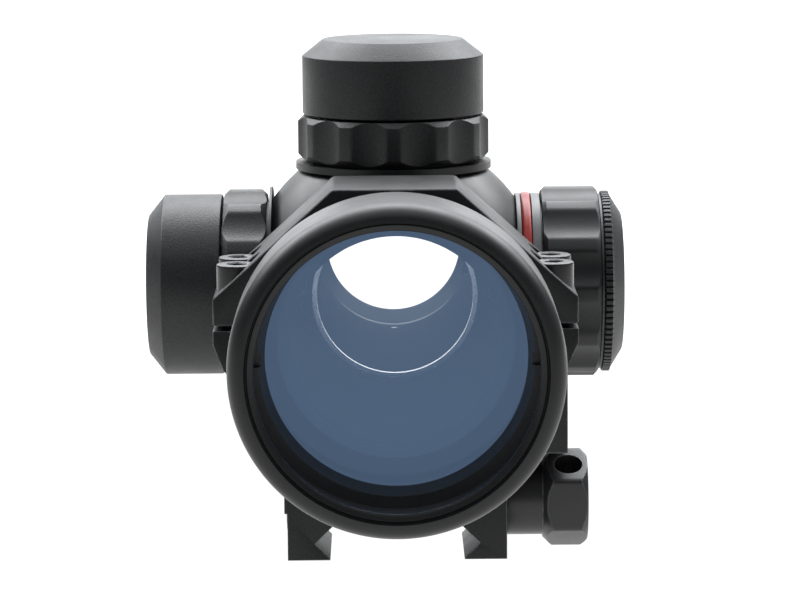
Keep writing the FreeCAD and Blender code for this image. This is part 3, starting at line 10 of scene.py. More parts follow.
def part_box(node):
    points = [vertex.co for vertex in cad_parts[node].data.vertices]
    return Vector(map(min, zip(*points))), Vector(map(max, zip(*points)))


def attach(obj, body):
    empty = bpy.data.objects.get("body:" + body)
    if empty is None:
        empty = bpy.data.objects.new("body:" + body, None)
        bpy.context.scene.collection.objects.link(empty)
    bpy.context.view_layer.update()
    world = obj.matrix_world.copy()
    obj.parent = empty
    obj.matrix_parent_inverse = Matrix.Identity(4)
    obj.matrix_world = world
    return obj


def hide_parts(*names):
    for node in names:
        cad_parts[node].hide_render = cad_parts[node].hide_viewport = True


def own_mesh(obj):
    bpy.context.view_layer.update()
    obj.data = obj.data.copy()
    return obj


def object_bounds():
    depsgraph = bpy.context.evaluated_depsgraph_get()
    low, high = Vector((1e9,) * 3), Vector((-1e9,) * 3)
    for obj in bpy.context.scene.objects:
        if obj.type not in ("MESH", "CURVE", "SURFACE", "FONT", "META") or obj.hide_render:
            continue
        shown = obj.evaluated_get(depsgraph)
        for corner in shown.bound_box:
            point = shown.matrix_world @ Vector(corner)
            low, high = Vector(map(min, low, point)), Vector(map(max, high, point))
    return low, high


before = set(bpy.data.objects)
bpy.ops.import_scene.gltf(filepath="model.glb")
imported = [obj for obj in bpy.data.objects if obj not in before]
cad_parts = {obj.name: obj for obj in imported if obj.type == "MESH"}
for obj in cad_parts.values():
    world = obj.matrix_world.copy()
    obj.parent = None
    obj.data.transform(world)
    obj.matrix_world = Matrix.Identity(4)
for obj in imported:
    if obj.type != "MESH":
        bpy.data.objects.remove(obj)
CAD_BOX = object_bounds()
MM = 0.001
TINY = 1e-9
NEARLY_STRAIGHT = math.radians(176)
MOST_OF_HALF_A_SIDE = 0.49
SHARP_DEG = 28.0

# ---------------------------------------------------------------- places read from the frame


def middle(node):
    """The middle of a CAD node's box."""
    low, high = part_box(node)
    return (Vector(low) + Vector(high)) * 0.5


SIGHT_Z = middle("objective_bell").z
FRONT_Y = Vector(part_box("objective_bell")[0]).y
STATION_Y = middle("elevation_knob").y
FRONT = Vector((0, FRONT_Y, SIGHT_Z))
CROSS = Vector((0, STATION_Y, SIGHT_Z))
MOUNT = Vector((0, middle("ring_cap").y, SIGHT_Z))
BOLT = Vector((0, middle("clamp_knob").y, middle("clamp_knob").z))
FLOOR_Z = CAD_BOX[0][2]

# columns of each matrix: where a turned piece's own X, Y and Z point
ALONG = {
    "sight": Matrix(((1, 0, 0), (0, 0, 1), (0, -1, 0))),
    "up": Matrix(((1, 0, 0), (0, 1, 0), (0, 0, 1))),
    "left": Matrix(((0, 0, -1), (0, 1, 0), (1, 0, 0))),
    "right": Matrix(((0, 0, 1), (0, 1, 0), (-1, 0, 0))),
}

# ---------------------------------------------------------------- meshes


def new_object(name, vertices, faces, sharp_deg=SHARP_DEG):
    """A mesh object from points in metres, smooth except along sharp edges."""
    mesh = bpy.data.meshes.new(name)
    mesh.from_pydata([tuple(point) for point in vertices], [], faces)
    mesh.validate()
    piece = bpy.data.objects.new(name, mesh)
    bpy.context.scene.collection.objects.link(piece)
    settle(piece, sharp_deg)
    return piece


def settle(piece, sharp_deg=SHARP_DEG):
    """Outward normals, smooth shading and sharp edges by angle."""
    work = bmesh.new()
    work.from_mesh(piece.data)
    bmesh.ops.recalc_face_normals(work, faces=work.faces)
    work.to_mesh(piece.data)
    work.free()
    piece.data.polygons.foreach_set("use_smooth", [True] * len(piece.data.polygons))
    piece.data.set_sharp_from_angle(angle=math.radians(sharp_deg))
    piece.data.update()


def to_world(points, place, direction):
    """Points in millimetres about a piece's own axis, as vectors in metres in the frame."""
    turn = ALONG[direction]
    return [place + turn @ (Vector(point) * MM) for point in points]


def rounded(corners, steps, radius=0.0):
    """A closed profile of (radius, height) points, where a corner's third value rounds it.

    The corners that name no radius of their own take the last argument, which leaves them sharp.
    """
    result = []
    count = len(corners)
    for index, corner in enumerate(corners):
        here = np.array(corner[:2], float)
        before = np.array(corners[index - 1][:2], float)
        after = np.array(corners[(index + 1) % count][:2], float)
        size = corner[2] if len(corner) > 2 else radius
        back = before - here
        ahead = after - here
        back_length = np.linalg.norm(back)
        ahead_length = np.linalg.norm(ahead)
        on_axis = here[0] < TINY
        if size <= 0 or on_axis or min(back_length, ahead_length) < TINY:
            result.append(tuple(here))
            continue
        back /= back_length
        ahead /= ahead_length
        turn = math.acos(max(-1.0, min(1.0, float(back @ ahead))))
        if turn > NEARLY_STRAIGHT:
            result.append(tuple(here))
            continue
        longest = MOST_OF_HALF_A_SIDE * min(back_length, ahead_length)
        reach = min(size / math.tan(turn / 2), longest)
        start = here + back * reach
        end = here + ahead * reach
        for step in range(steps + 1):
            part = step / steps
            # a quadratic arc that leaves both sides smoothly
            point = start * (1 - part) ** 2 + here * 2 * part * (1 - part) + end * part ** 2
            result.append((float(point[0]), float(point[1])))
    return result


def grid(name, rows, place, direction, closed=True, sharp_deg=SHARP_DEG):
    """A turned mesh from rows of (x, y, z) points in millimetres, one row for each profile corner."""
    vertices = []
    faces = []
    starts = []
    sides = max(len(row) for row in rows)
    for row in rows:
        starts.append(len(vertices))
        vertices.extend(to_world(row, place, direction))
    pairs = list(range(len(rows))) if closed else list(range(len(rows) - 1))
    for number in pairs:
        after = (number + 1) % len(rows)
        first, second = starts[number], starts[after]
        one, two = len(rows[number]) == 1, len(rows[after]) == 1
        if one and two:
            continue
        for side in range(sides):
            beside = (side + 1) % sides
            if one:
                faces.append((first, second + side, second + beside))
            elif two:
                faces.append((first + side, second, first + beside))
            else:
                faces.append((first + side, second + side, second + beside, first + beside))
    return new_object(name, vertices, faces, sharp_deg)


def circle_row(radius, height, sides):
    """One circle of points, or a single point where the radius is nothing."""
    if radius < TINY:
        return [(0, 0, height)]
    angles = np.arange(sides) * (2 * math.pi / sides)
    return [(radius * math.cos(a), radius * math.sin(a), height) for a in angles]


def lathe(name, profile, place, direction, sides=160, sharp_deg=SHARP_DEG):
    """A piece turned from a closed profile of (radius, height) in millimetres."""
    return grid(name, [circle_row(r, h, sides) for r, h in profile], place, direction, True, sharp_deg)


def cutter_box(name, low, high, place, direction):
    """A block between two opposite corners, in millimetres about a piece's own axis."""
    corners = list(itertools.product(*zip(low, high)))
    faces = [(0, 1, 3, 2), (4, 6, 7, 5), (0, 4, 5, 1), (2, 3, 7, 6), (0, 2, 6, 4), (1, 5, 7, 3)]
    return new_object(name, to_world(corners, place, direction), faces)


def cutter_rod(name, radius, start, end, place, direction, offset=(0, 0), sides=64):
    """A rod along a piece's own axis, or beside it by an offset, in millimetres."""
    rows = [
        [(0, 0, start)], circle_row(radius, start, sides), circle_row(radius, end, sides), [(0, 0, end)],
    ]
    moved = [[(x + offset[0], y + offset[1], z) for x, y, z in row] for row in rows]
    return grid(name, moved, place, direction, False)


def carve(piece, *cutters):
    """Cut shapes out of a piece and remove the cutters."""
    for cutter in cutters:
        step = piece.modifiers.new("carve", "BOOLEAN")
        step.operation = "DIFFERENCE"
        step.solver = "EXACT"
        step.object = cutter
    apply_modifiers(piece)
    for cutter in cutters:
        bpy.data.objects.remove(cutter, do_unlink=True)


def apply_modifiers(piece, sharp_deg=SHARP_DEG):
    """Replace a piece's mesh with what its modifiers make of it."""
    view = bpy.context.evaluated_depsgraph_get()
    view.update()
    mesh = bpy.data.meshes.new_from_object(piece.evaluated_get(view))
    piece.modifiers.clear()
    old = piece.data
    piece.data = mesh
    bpy.data.meshes.remove(old)
    settle(piece, sharp_deg)


def plate(name, outline, half_width, place):
    """A piece with one outline of (across, up) from its front face to its back face, in millimetres."""
    count = len(outline)
    vertices = []
    for along in (-half_width, half_width):
        vertices.extend(place + Vector((across, along, up)) * MM for across, up in outline)
    faces = [tuple(range(count)), tuple(reversed(range(count, 2 * count)))]
    for corner in range(count):
        beside = (corner + 1) % count
        faces.append((corner, beside, beside + count, corner + count))
    return new_object(name, vertices, faces)


def soften_edges(piece, width, segments=2, angle_deg=24.0):
    """Round every edge sharper than an angle."""
    step = piece.modifiers.new("soften", "BEVEL")
    step.width = width * MM
    step.segments = segments
    step.limit_method = "ANGLE"
    step.angle_limit = math.radians(angle_deg)
    step.miter_outer = "MITER_ARC"
    apply_modifiers(piece)


def arc(radius, start_deg, end_deg, steps):
    """Points (across, up) on an arc about the sight line."""
    angles = [math.radians(start_deg + (end_deg - start_deg) * n / steps) for n in range(steps + 1)]
    return [(radius * math.cos(a), radius * math.sin(a)) for a in angles]


def rod_between(name, start, end, radius, sides=48):
    """A rod between two points of the frame."""
    line = (end - start).normalized()
    side = line.orthogonal().normalized()
    other = line.cross(side)
    vertices = [start, end]
    for tip in (start, end):
        for number in range(sides):
            angle = number * 2 * math.pi / sides
            vertices.append(tip + (side * math.cos(angle) + other * math.sin(angle)) * radius * MM)
    faces = []
    for number in range(sides):
        beside = (number + 1) % sides
        first, second = 2 + number, 2 + beside
        faces.append((0, second, first))
        faces.append((first, second, second + sides, first + sides))
        faces.append((1, first + sides, second + sides))
    return new_object(name, vertices, faces)


def finish_piece(piece, body, material, slot, *nodes):
    """Give a piece its material and body, and hide the CAD nodes that it stands for; the slot argument is
    not used.
    """
    piece.data.materials.clear()
    piece.data.materials.append(material)
    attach(piece, body)
    if nodes:
        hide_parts(*nodes)
    return piece


# ---------------------------------------------------------------- materials


def calculated(tree, operation, first, second=None):
    """One arithmetic node on one or two values."""
    made = tree.nodes.new("ShaderNodeMath")
    made.operation = operation
    for value, socket in zip((first, second), made.inputs):
        if isinstance(value, (int, float)):
            socket.default_value = value
        elif value is not None:
            tree.links.new(value, socket)
    return made.outputs[0]


class Shader:
    """A material with a principled shader and the few nodes that its surface detail needs."""

    def __init__(self, name, color, roughness, metallic=0.0, **sockets):
        self.material = bpy.data.materials.new(name)
        self.material.use_nodes = True
        self.tree = self.material.node_tree
        self.bsdf = self.tree.nodes["Principled BSDF"]
        self.set("Base Color", (*color, 1.0))
        self.set("Roughness", roughness)
        self.set("Metallic", metallic)
        for socket, value in sockets.items():
            self.set(socket.replace("_", " "), value)
        self.place = self.tree.nodes.new("ShaderNodeTexCoord").outputs["Object"]
        self.normal = None

    def set(self, socket, value):
        self.bsdf.inputs[socket].default_value = value

    def node(self, kind, **inputs):
        made = self.tree.nodes.new(kind)
        for socket, value in inputs.items():
            made.inputs[socket.replace("_", " ")].default_value = value
        return made

    def link(self, source, target):
        self.tree.links.new(source, target)

    def noise(self, scale, detail=2.0, roughness=0.5):
        made = self.node("ShaderNodeTexNoise", Scale=scale, Detail=detail, Roughness=roughness)
        self.link(self.place, made.inputs["Vector"])
        return made.outputs["Fac"]

    def spread(self, value, low, high, from_low=0.3, from_high=0.7):
        """Map a texture's useful range onto a range of values."""
        made = self.node("ShaderNodeMapRange")
        made.inputs["From Min"].default_value = from_low
        made.inputs["From Max"].default_value = from_high
        made.inputs["To Min"].default_value = low
        made.inputs["To Max"].default_value = high
        self.link(value, made.inputs["Value"])
        return made.outputs["Result"]

    def tint(self, factor, first, second):
        """Blend two colours by a factor. Each is a colour or what another node gives."""
        made = self.tree.nodes.new("ShaderNodeMix")
        made.data_type = "RGBA"
        self.link(factor, made.inputs[0])
        for color, socket in ((first, made.inputs[6]), (second, made.inputs[7])):
            if isinstance(color, tuple):
                socket.default_value = (*color, 1.0)
            else:
                self.link(color, socket)
        return made.outputs[2]

    def bump(self, value, strength, distance):
        """Raise the surface by a texture, on top of any bump made before."""
        made = self.node("ShaderNodeBump", Strength=strength, Distance=distance)
        self.link(value, made.inputs["Height"])
        if self.normal is not None:
            self.link(self.normal, made.inputs["Normal"])
        self.normal = made.outputs["Normal"]
        self.link(self.normal, self.bsdf.inputs["Normal"])

    def edge_mask(self, radius):
        """White along convex and concave edges, within a radius in metres."""
        soft = self.node("ShaderNodeBevel", Radius=radius)
        soft.samples = 4
        flat = self.tree.nodes.new("ShaderNodeNewGeometry")
        dot = self.tree.nodes.new("ShaderNodeVectorMath")
        dot.operation = "DOT_PRODUCT"
        self.link(soft.outputs["Normal"], dot.inputs[0])
        self.link(flat.outputs["Normal"], dot.inputs[1])
        return self.spread(dot.outputs["Value"], 1.0, 0.0, 0.90, 0.995)


BLACK = (0.0060, 0.0066, 0.0072)
BLACK_WORN = (0.020, 0.0215, 0.023)
EDGE_GREY = (0.30, 0.31, 0.33)

# texture scales are cells per metre, and depths and widths are in metres
GRAIN_SCALE = 4300.0
GRAIN_DEPTH = 0.10 * MM
MARK_SCALE = 900.0
MARK_DEPTH = 0.02 * MM
CLOUD_SCALE = 140.0
SKIN_DEPTH = 0.03 * MM
WORN_WIDTH = 0.22 * MM


def anodised(name, grain, roughness, worn_edges=False, base=BLACK, pale=BLACK_WORN, gloss=0.45):
    """Anodised or blackened metal: fine grain, uneven gloss, handling marks, and pale edges if asked."""
    shader = Shader(name, base, roughness, 0.0, Specular_IOR_Level=gloss)
    grains = shader.noise(GRAIN_SCALE, 3.0, 0.6)
    clouds = shader.noise(CLOUD_SCALE, 4.0, 0.6)
    marks = shader.noise(MARK_SCALE, 6.0, 0.75)
    color = shader.tint(shader.spread(grains, 0.0, 0.42), base, pale)
    if worn_edges:
        broken = shader.spread(marks, 0.15, 1.0, 0.38, 0.62)
        worn = calculated(shader.tree, "MULTIPLY", shader.edge_mask(WORN_WIDTH), broken)
        color = shader.tint(worn, color, EDGE_GREY)
    shader.link(color, shader.bsdf.inputs["Base Color"])
    rough = shader.spread(clouds, roughness - 0.05, roughness + 0.07)
    shader.link(rough, shader.bsdf.inputs["Roughness"])
    shader.bump(grains, grain, GRAIN_DEPTH)
    shader.bump(marks, 0.08, MARK_DEPTH)
    return shader.material


def bare_metal(name, color, roughness, grain=0.1, scale=3000.0):
    """Turned or plated metal with a fine grain and uneven gloss."""
    shader = Shader(name, color, roughness, 1.0)
    fine = shader.noise(scale, 4.0, 0.6)
    darker = tuple(part * 0.72 for part in color)
    shader.link(shader.tint(shader.spread(fine, 0.0, 1.0), darker, color), shader.bsdf.inputs["Base Color"])
    shader.link(
        shader.spread(shader.noise(500.0, 3.0), roughness * 0.8, roughness * 1.3),
        shader.bsdf.inputs["Roughness"],
    )
    shader.bump(fine, grain, SKIN_DEPTH)
    return shader.material


def soft_plain(name, color, roughness, scale=2500.0, grain=0.1, **sockets):
    """Rubber and plastic: slight mottling, a fine skin and uneven gloss."""
    shader = Shader(name, color, roughness, 0.0, **sockets)
    fine = shader.noise(scale, 3.0)
    paler = tuple(min(1.0, part * 1.25 + 0.004) for part in color)
    shader.link(shader.tint(shader.spread(fine, 0.0, 1.0), color, paler), shader.bsdf.inputs["Base Color"])
    shader.link(
        shader.spread(shader.noise(300.0, 3.0), roughness * 0.85, roughness * 1.2),
        shader.bsdf.inputs["Roughness"],
    )
    shader.bump(fine, grain, SKIN_DEPTH)
    return shader.material


def coated_glass(name, color, alpha, metallic, painted_sheen=(0.0, 0.0, 0.0)):
    """Nearly clear glass with a tinted reflection, a glowing painted sheen that stands in for reflected
    light, and a trace of dust.
    """
    shader = Shader(name, color, 0.02, metallic, Alpha=alpha, IOR=1.5)
    dust = shader.spread(shader.noise(2200.0, 6.0, 0.8), 0.0, 0.008, 0.66, 0.84)
    shader.link(calculated(shader.tree, "ADD", dust, alpha), shader.bsdf.inputs["Alpha"])
    # the emission is a painted sheen: the glass glows in place of light that it would reflect
    shader.set("Emission Color", (*painted_sheen, 1.0))
    shader.set("Emission Strength", 1.0 if any(painted_sheen) else 0.0)
    shader.link(
        shader.spread(shader.noise(60.0, 2.0), 0.015, 0.03), shader.bsdf.inputs["Roughness"]
    )
    return shader.material


BLASTED = anodised("black_blasted", 0.5, 0.40, pale=(0.045, 0.048, 0.052))
SATIN = anodised("black_satin", 0.22, 0.40)
BELL_BLACK = anodised("black_bell", 0.12, 0.36, gloss=0.40)
MOUNT_BLACK = anodised("black_mount", 0.34, 0.42, worn_edges=True, gloss=0.30)
THREAD_BLACK = anodised("black_thread", 0.15, 0.40, base=(0.045, 0.047, 0.050), pale=(0.08, 0.083, 0.088))
INSIDE = anodised("black_inside", 0.20, 0.95, gloss=0.06)
GREY = anodised("grey_turned", 0.18, 0.34, base=(0.11, 0.114, 0.12), pale=(0.19, 0.194, 0.205))
OXIDE = anodised("black_oxide", 0.12, 0.30, worn_edges=True, base=(0.02, 0.02, 0.021))
BRIGHT = bare_metal("bright_turned", (0.74, 0.75, 0.77), 0.24)
COLLAR_GREY = bare_metal("bright_collar", (0.09, 0.092, 0.097), 0.42)
STEEL = bare_metal("steel_plain", (0.55, 0.56, 0.58), 0.30)
BRASS = bare_metal("brass_turned", (0.62, 0.44, 0.19), 0.32)
NICKEL = bare_metal("nickel_plate", (0.72, 0.71, 0.69), 0.18)
RED = soft_plain(
    "red_band", (0.26, 0.016, 0.013), 0.30, grain=0.05,
    Specular_IOR_Level=0.25, Coat_Weight=0.12, Coat_Roughness=0.12,
)
RUBBER = soft_plain("black_rubber", (0.014, 0.014, 0.015), 0.55)
ACETAL = soft_plain("black_acetal", (0.02, 0.02, 0.021), 0.45)
BOARD = soft_plain("board_green", (0.02, 0.10, 0.04), 0.30)
DIODE = soft_plain("diode_red", (0.35, 0.02, 0.015), 0.15, Coat_Weight=0.4)
# the blue glass is given a glowing painted sheen in place of reflected light
BLUE_GLASS = coated_glass("glass_blue", (0.06, 0.095, 0.158), 0.15, 1.0, painted_sheen=(0.20, 0.325, 0.53))
CLEAR_GLASS = coated_glass("glass_clear", (0.90, 0.95, 1.0), 0.02, 0.0)


def paint(material, *nodes):
    """Give CAD nodes a finished material."""
    for name in nodes:
        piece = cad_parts[name]
        if not piece.material_slots:
            piece.data.materials.append(material)
        for place in piece.material_slots:
            place.link = "OBJECT"
            place.material = material


def line_cad_node(material, name, radius):
    """Give the faces of a CAD node near the sight line a second material."""
    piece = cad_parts[name]
    first = piece.material_slots[0].material
    piece.data.materials.append(material)
    piece.material_slots[0].material = first
    number = len(piece.material_slots) - 1
    for face in piece.data.polygons:
        across = math.hypot(face.center.x, face.center.z - SIGHT_Z)
        if across < radius * MM:
            face.material_index = number


# ---------------------------------------------------------------- lift spring

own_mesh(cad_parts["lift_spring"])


# ---------------------------------------------------------------- objective end
# Radii are from the sight line and depths are behind the bell's front, in millimetres.

BELL_RADIUS = 20.75
BELL_SIDE_END = 13.5
BELL_END = 33.0
NECK_RADIUS = 16.2
NECK_START = 27.0
NOSE_RADIUS = 18.6
NOSE_DEPTH = 2.6

LIP_RADIUS = 17.45
LIP_FRONT = 0.95
LIP_BACK = 1.7
LIP_CREST_RADIUS = 18.2
LIP_CREST_DEPTH = 0.65
LIP_GROOVE_RADIUS = 18.42
LIP_GROOVE_DEPTH = 0.85

MOUTH_RADIUS = 18.9
MOUTH_START = 2.3
THREAD_RADIUS = 18.75
THREAD_START = 2.9
THREAD_END = 10.9
THREAD_PITCH = 0.80
THREAD_DEPTH = 0.20

LENS_SEAT_RADIUS = 18.1
LENS_SEAT_START = 14.1
LENS_SEAT_END = 18.6
CONE_RADIUS = 16.6
CONE_END_RADIUS = 13.6
TUBE_BORE_RADIUS = 14.55
TUBE_BORE_START = 25.5

THREAD_LINING_RADIUS = 19.0
SEAT_LINING_RADIUS = 18.2
BELL_LINING_START = 2.5
TUBE_LINING_RADIUS = 14.4

LENS_RADIUS = 18.0
LENS_FRONT = 14.05
LENS_MIDDLE_BACK = 14.35
LENS_EDGE_BACK = 15.6


def thread_profile(radius, start, end, pitch, depth, softness=0.05):
    """A zigzag of thread crests between two heights."""
    points = []
    count = int(round((end - start) / pitch))
    step = (end - start) / count
    for number in range(count):
        points.append((radius, start + number * step, softness))
        points.append((radius + depth, start + (number + 0.5) * step, softness))
    points.append((radius, end, softness))
    return points


def nose(inner, outer, depth, steps=10):
    """The rounded front of the bell, a quarter of an ellipse from its lip to its side."""
    angles = [0.5 * math.pi * number / steps for number in range(steps + 1)]
    return [(inner + (outer - inner) * math.sin(a), depth * (1 - math.cos(a))) for a in angles]


def line_with(piece, material, radius, depth):
    """Give another material to faces behind a depth that look inward or along the sight line."""
    square_on = 0.9
    piece.data.materials.append(material)
    number = len(piece.data.materials) - 1
    for face in piece.data.polygons:
        across = Vector((face.center.x - FRONT.x, 0, face.center.z - FRONT.z))
        inward = across.dot(face.normal) < 0 or abs(face.normal.y) > square_on
        behind = face.center.y > FRONT_Y + depth * MM
        if across.length < radius * MM and behind and inward:
            face.material_index = number


def objective_bell():
    lip = [
        (MOUTH_RADIUS, MOUTH_START, 0.1),
        (LIP_RADIUS, LIP_BACK, 0.25),
        (LIP_RADIUS, LIP_FRONT, 0.25),
        (LIP_CREST_RADIUS, LIP_CREST_DEPTH, 0.15),
        (LIP_GROOVE_RADIUS, LIP_GROOVE_DEPTH, 0.08),
    ]
    outside = nose(NOSE_RADIUS, BELL_RADIUS, NOSE_DEPTH) + [
        (BELL_RADIUS, BELL_SIDE_END, 3.0),
        (NECK_RADIUS, NECK_START, 2.0),
        (NECK_RADIUS, BELL_END, 0.4),
    ]
    inside = [
        (TUBE_BORE_RADIUS, BELL_END),
        (TUBE_BORE_RADIUS, TUBE_BORE_START),
        (CONE_END_RADIUS, TUBE_BORE_START),
        (CONE_RADIUS, LENS_SEAT_END, 0.1),
        (LENS_SEAT_RADIUS, LENS_SEAT_END),
        (LENS_SEAT_RADIUS, LENS_SEAT_START),
        (MOUTH_RADIUS, LENS_SEAT_START),
    ]
    thread = thread_profile(THREAD_RADIUS, THREAD_START, THREAD_END, THREAD_PITCH, THREAD_DEPTH)
    thread.reverse()
    profile = rounded(outside + inside + thread + lip, 5)
    bell = lathe("objective_bell_shell", profile, FRONT, "sight", 256, 30.0)
    finish_piece(bell, "sight", BELL_BLACK, "black_anodised", "objective_bell")
    line_with(bell, THREAD_BLACK, THREAD_LINING_RADIUS, BELL_LINING_START)
    line_with(bell, INSIDE, SEAT_LINING_RADIUS, BELL_LINING_START)


def front_lens():
    """The seen front lens, drawn with a flat front so that it mirrors no dark ring."""
    disc = rounded([
        (0.0, LENS_FRONT),
        (LENS_RADIUS, LENS_FRONT, 0.15),
        (LENS_RADIUS, LENS_EDGE_BACK, 0.15),
        (0.0, LENS_MIDDLE_BACK),
    ], 3)
    lens = lathe("objective_lens_coated", disc, FRONT, "sight", 192)
    finish_piece(lens, "sight", BLUE_GLASS, "objective_glass", "objective_lens_outer")


# ---------------------------------------------------------------- turrets
# Radii are about a turret's own axis and heights are from the sight line, in millimetres.

SCALLOPS = 12
SCALLOP_DEPTH = 0.75
SCALLOP_CUTTER = 6.4
SCALLOP_SOFTNESS = 0.05

KNOB_RADIUS = 12.85
KNOB_START = 24.4
KNOB_SIDE_END = 32.6
KNOB_END = 34.9
KNOB_FACE_RADIUS = 9.95
KNOB_HOLLOW_RADIUS = 10.6
KNOB_HOLLOW_END = 31.2
HUB_RADIUS = 3.5
HUB_START = 15.6
HUB_BORE_RADIUS = 2.05
HUB_BORE_END = 27.0

LOCK_RING_RADIUS = 13.55
LOCK_RING_BORE = 11.68
LOCK_RING_START = 18.0
LOCK_RING_END = 24.1
LOCK_RING_BEVEL = 0.75
LOCK_RING_PHASE = math.radians(-75)


def scallop_radius(angle, outer, phase):
    """How far out a scalloped wall reaches at an angle, its crests slightly rounded."""
    pitch = 2 * math.pi / SCALLOPS
    offset = (angle - phase + pitch / 2) % pitch - pitch / 2
    centre = outer - SCALLOP_DEPTH + SCALLOP_CUTTER
    reach = centre * math.sin(offset)
    if abs(reach) < SCALLOP_CUTTER:
        cut = centre * math.cos(offset) - math.sqrt(SCALLOP_CUTTER ** 2 - reach ** 2)
    else:
        cut = outer + 1.0
    gap = abs(cut - outer)
    return min(cut, outer) - SCALLOP_SOFTNESS * math.exp(-gap / (SCALLOP_SOFTNESS * 2))


def shaped(name, profile_at, place, direction, sides, sharp_deg=SHARP_DEG):
    """A turned piece whose closed profile changes with the angle round its axis."""
    angles = [number * 2 * math.pi / sides for number in range(sides)]
    profiles = [profile_at(angle) for angle in angles]
    rows = []
    for index in range(len(profiles[0])):
        row = []
        for angle, profile in zip(angles, profiles):
            radius, height = profile[index]
            row.append((radius * math.cos(angle), radius * math.sin(angle), height))
        if abs(profiles[0][index][0]) < TINY:
            row = row[:1]
        rows.append(row)
    return grid(name, rows, place, direction, True, sharp_deg)


def lock_ring_at(angle):
    """The profile of a lock ring at one angle, its bevels cut by the scallops into waves."""
    wall = scallop_radius(angle, LOCK_RING_RADIUS, LOCK_RING_PHASE)
    rise = LOCK_RING_BEVEL - (LOCK_RING_RADIUS - wall)
    return rounded([
        (LOCK_RING_BORE, LOCK_RING_START, 0.1),
        (LOCK_RING_RADIUS - LOCK_RING_BEVEL, LOCK_RING_START, 0.12),
        (wall, LOCK_RING_START + rise, 0.12),
        (wall, LOCK_RING_END - rise, 0.12),
        (LOCK_RING_RADIUS - LOCK_RING_BEVEL, LOCK_RING_END, 0.12),
        (LOCK_RING_BORE, LOCK_RING_END, 0.1),
    ], 3)


def turret(name, direction):
    """One adjusting knob with the lock ring under it."""
    profile = rounded([
        (HUB_BORE_RADIUS, HUB_START),
        (HUB_RADIUS, HUB_START, 0.1),
        (HUB_RADIUS, KNOB_HOLLOW_END, 0.2),
        (KNOB_HOLLOW_RADIUS, KNOB_HOLLOW_END, 0.2),
        (KNOB_HOLLOW_RADIUS, KNOB_START, 0.15),
        (KNOB_RADIUS, KNOB_START, 0.3),
        (KNOB_RADIUS, KNOB_SIDE_END, 0.3),
        (KNOB_FACE_RADIUS, KNOB_END, 0.35),
        (0.0, KNOB_END),
        (0.0, HUB_BORE_END),
        (HUB_BORE_RADIUS, HUB_BORE_END),
    ], 5)
    knob = lathe(name + "_knob_cap", profile, CROSS, direction, 224)
    finish_piece(knob, name + "_dial", BLASTED, "black_anodised", name + "_knob")
    ring = shaped(name + "_lock_ring_scalloped", lock_ring_at, CROSS, direction, 360)
    finish_piece(ring, name + "_lock", BLASTED, "black_anodised", name + "_lock_ring")


# ---------------------------------------------------------------- brightness dial
# Radii are about the dial's own axis and heights are from the sight line, in millimetres.

HOUSING_RADIUS = 12.7
HOUSING_START = 17.25
HOUSING_END = 20.65
BAND_SEAT_RADIUS = 11.7
BAND_SEAT_START = 17.9
BAND_SEAT_END = 19.4
HOUSING_FOOT_RADIUS = 9.0
HOUSING_FOOT_BORE = 7.4
HOUSING_FOOT_START = 14.0
HOUSING_FLOOR_START = 16.4
HOUSING_FLOOR_END = 18.4
HOUSING_WALL_RADIUS = 11.2
HOUSING_WALL_BORE = 9.9
HOUSING_WALL_END = 24.2

BAND_RADIUS = 12.85
BAND_CROWN = 0.6
BAND_GAP = 0.05

DIAL_RADIUS = 13.6
DIAL_START = 20.9
DIAL_END = 28.9
DIAL_FACE_RADIUS = 13.05
DIAL_BEVEL = 0.55
DIAL_BEVEL_WAVE = 0.6
DIAL_FACE_WAVE = 0.3
DIAL_PHASE = math.radians(15)
DIAL_SKIRT_BORE = 11.28
DIAL_SKIRT_END = 22.9
DIAL_POCKET_RADIUS = 12.0
DIAL_WEB_START = 25.0
DIAL_WEB_END = 26.0
DIAL_WEB_HOLE = 2.5
CELL_WELL_RADIUS = 10.4
CELL_WELL_END = 27.0
CAP_SEAT_RADIUS = 11.1

COLLAR_RADIUS = 12.5
COLLAR_BORE = 11.3
COLLAR_START = 28.95
COLLAR_END = 29.4
COLLAR_EDGE = 0.12

CAP_RADIUS = 12.9
CAP_START = 29.45
CAP_EDGE = 0.1
CAP_HOLLOW_END = 30.3
CAP_BEVEL_RADIUS = 12.4
CAP_BEVEL_START = 30.68
CAP_FACE_RADIUS = 9.8
CAP_END = 32.3
CAP_SKIRT_RADIUS = 11.05
CAP_SKIRT_BORE = 10.1
CAP_SKIRT_START = 27.4

KNURLS = 90
KNURL_SIDES = 8
KNURL_DEPTH = 0.34
KNURL_STEEPNESS = 5.0
KNURL_START = 29.6
KNURL_END = 30.5

COIN_SLOT_HALF_LENGTH = 6.5
COIN_SLOT_HALF_WIDTH = 0.9
COIN_SLOT_FLOOR = 31.6
COIN_SLOT_CUTTER_END = 34.0


def switch_housing():
    profile = rounded([
        (0.0, HOUSING_FLOOR_START),
        (HOUSING_FOOT_BORE, HOUSING_FLOOR_START, 0.1),
        (HOUSING_FOOT_BORE, HOUSING_FOOT_START, 0.1),
        (HOUSING_FOOT_RADIUS, HOUSING_FOOT_START, 0.1),
        (HOUSING_FOOT_RADIUS, HOUSING_START),
        (HOUSING_RADIUS, HOUSING_START, 0.15),
        (HOUSING_RADIUS, BAND_SEAT_START, 0.12),
        (BAND_SEAT_RADIUS, BAND_SEAT_START),
        (BAND_SEAT_RADIUS, BAND_SEAT_END),
        (HOUSING_RADIUS, BAND_SEAT_END, 0.12),
        (HOUSING_RADIUS, HOUSING_END, 0.15),
        (HOUSING_WALL_RADIUS, HOUSING_END),
        (HOUSING_WALL_RADIUS, HOUSING_WALL_END, 0.1),
        (HOUSING_WALL_BORE, HOUSING_WALL_END, 0.1),
        (HOUSING_WALL_BORE, HOUSING_FLOOR_END),
        (0.0, HOUSING_FLOOR_END),
    ], 3)
    shell = lathe("switch_housing_ring", profile, CROSS, "right", 192)
    finish_piece(shell, "sight", GREY, "grey_anodised", "switch_housing")


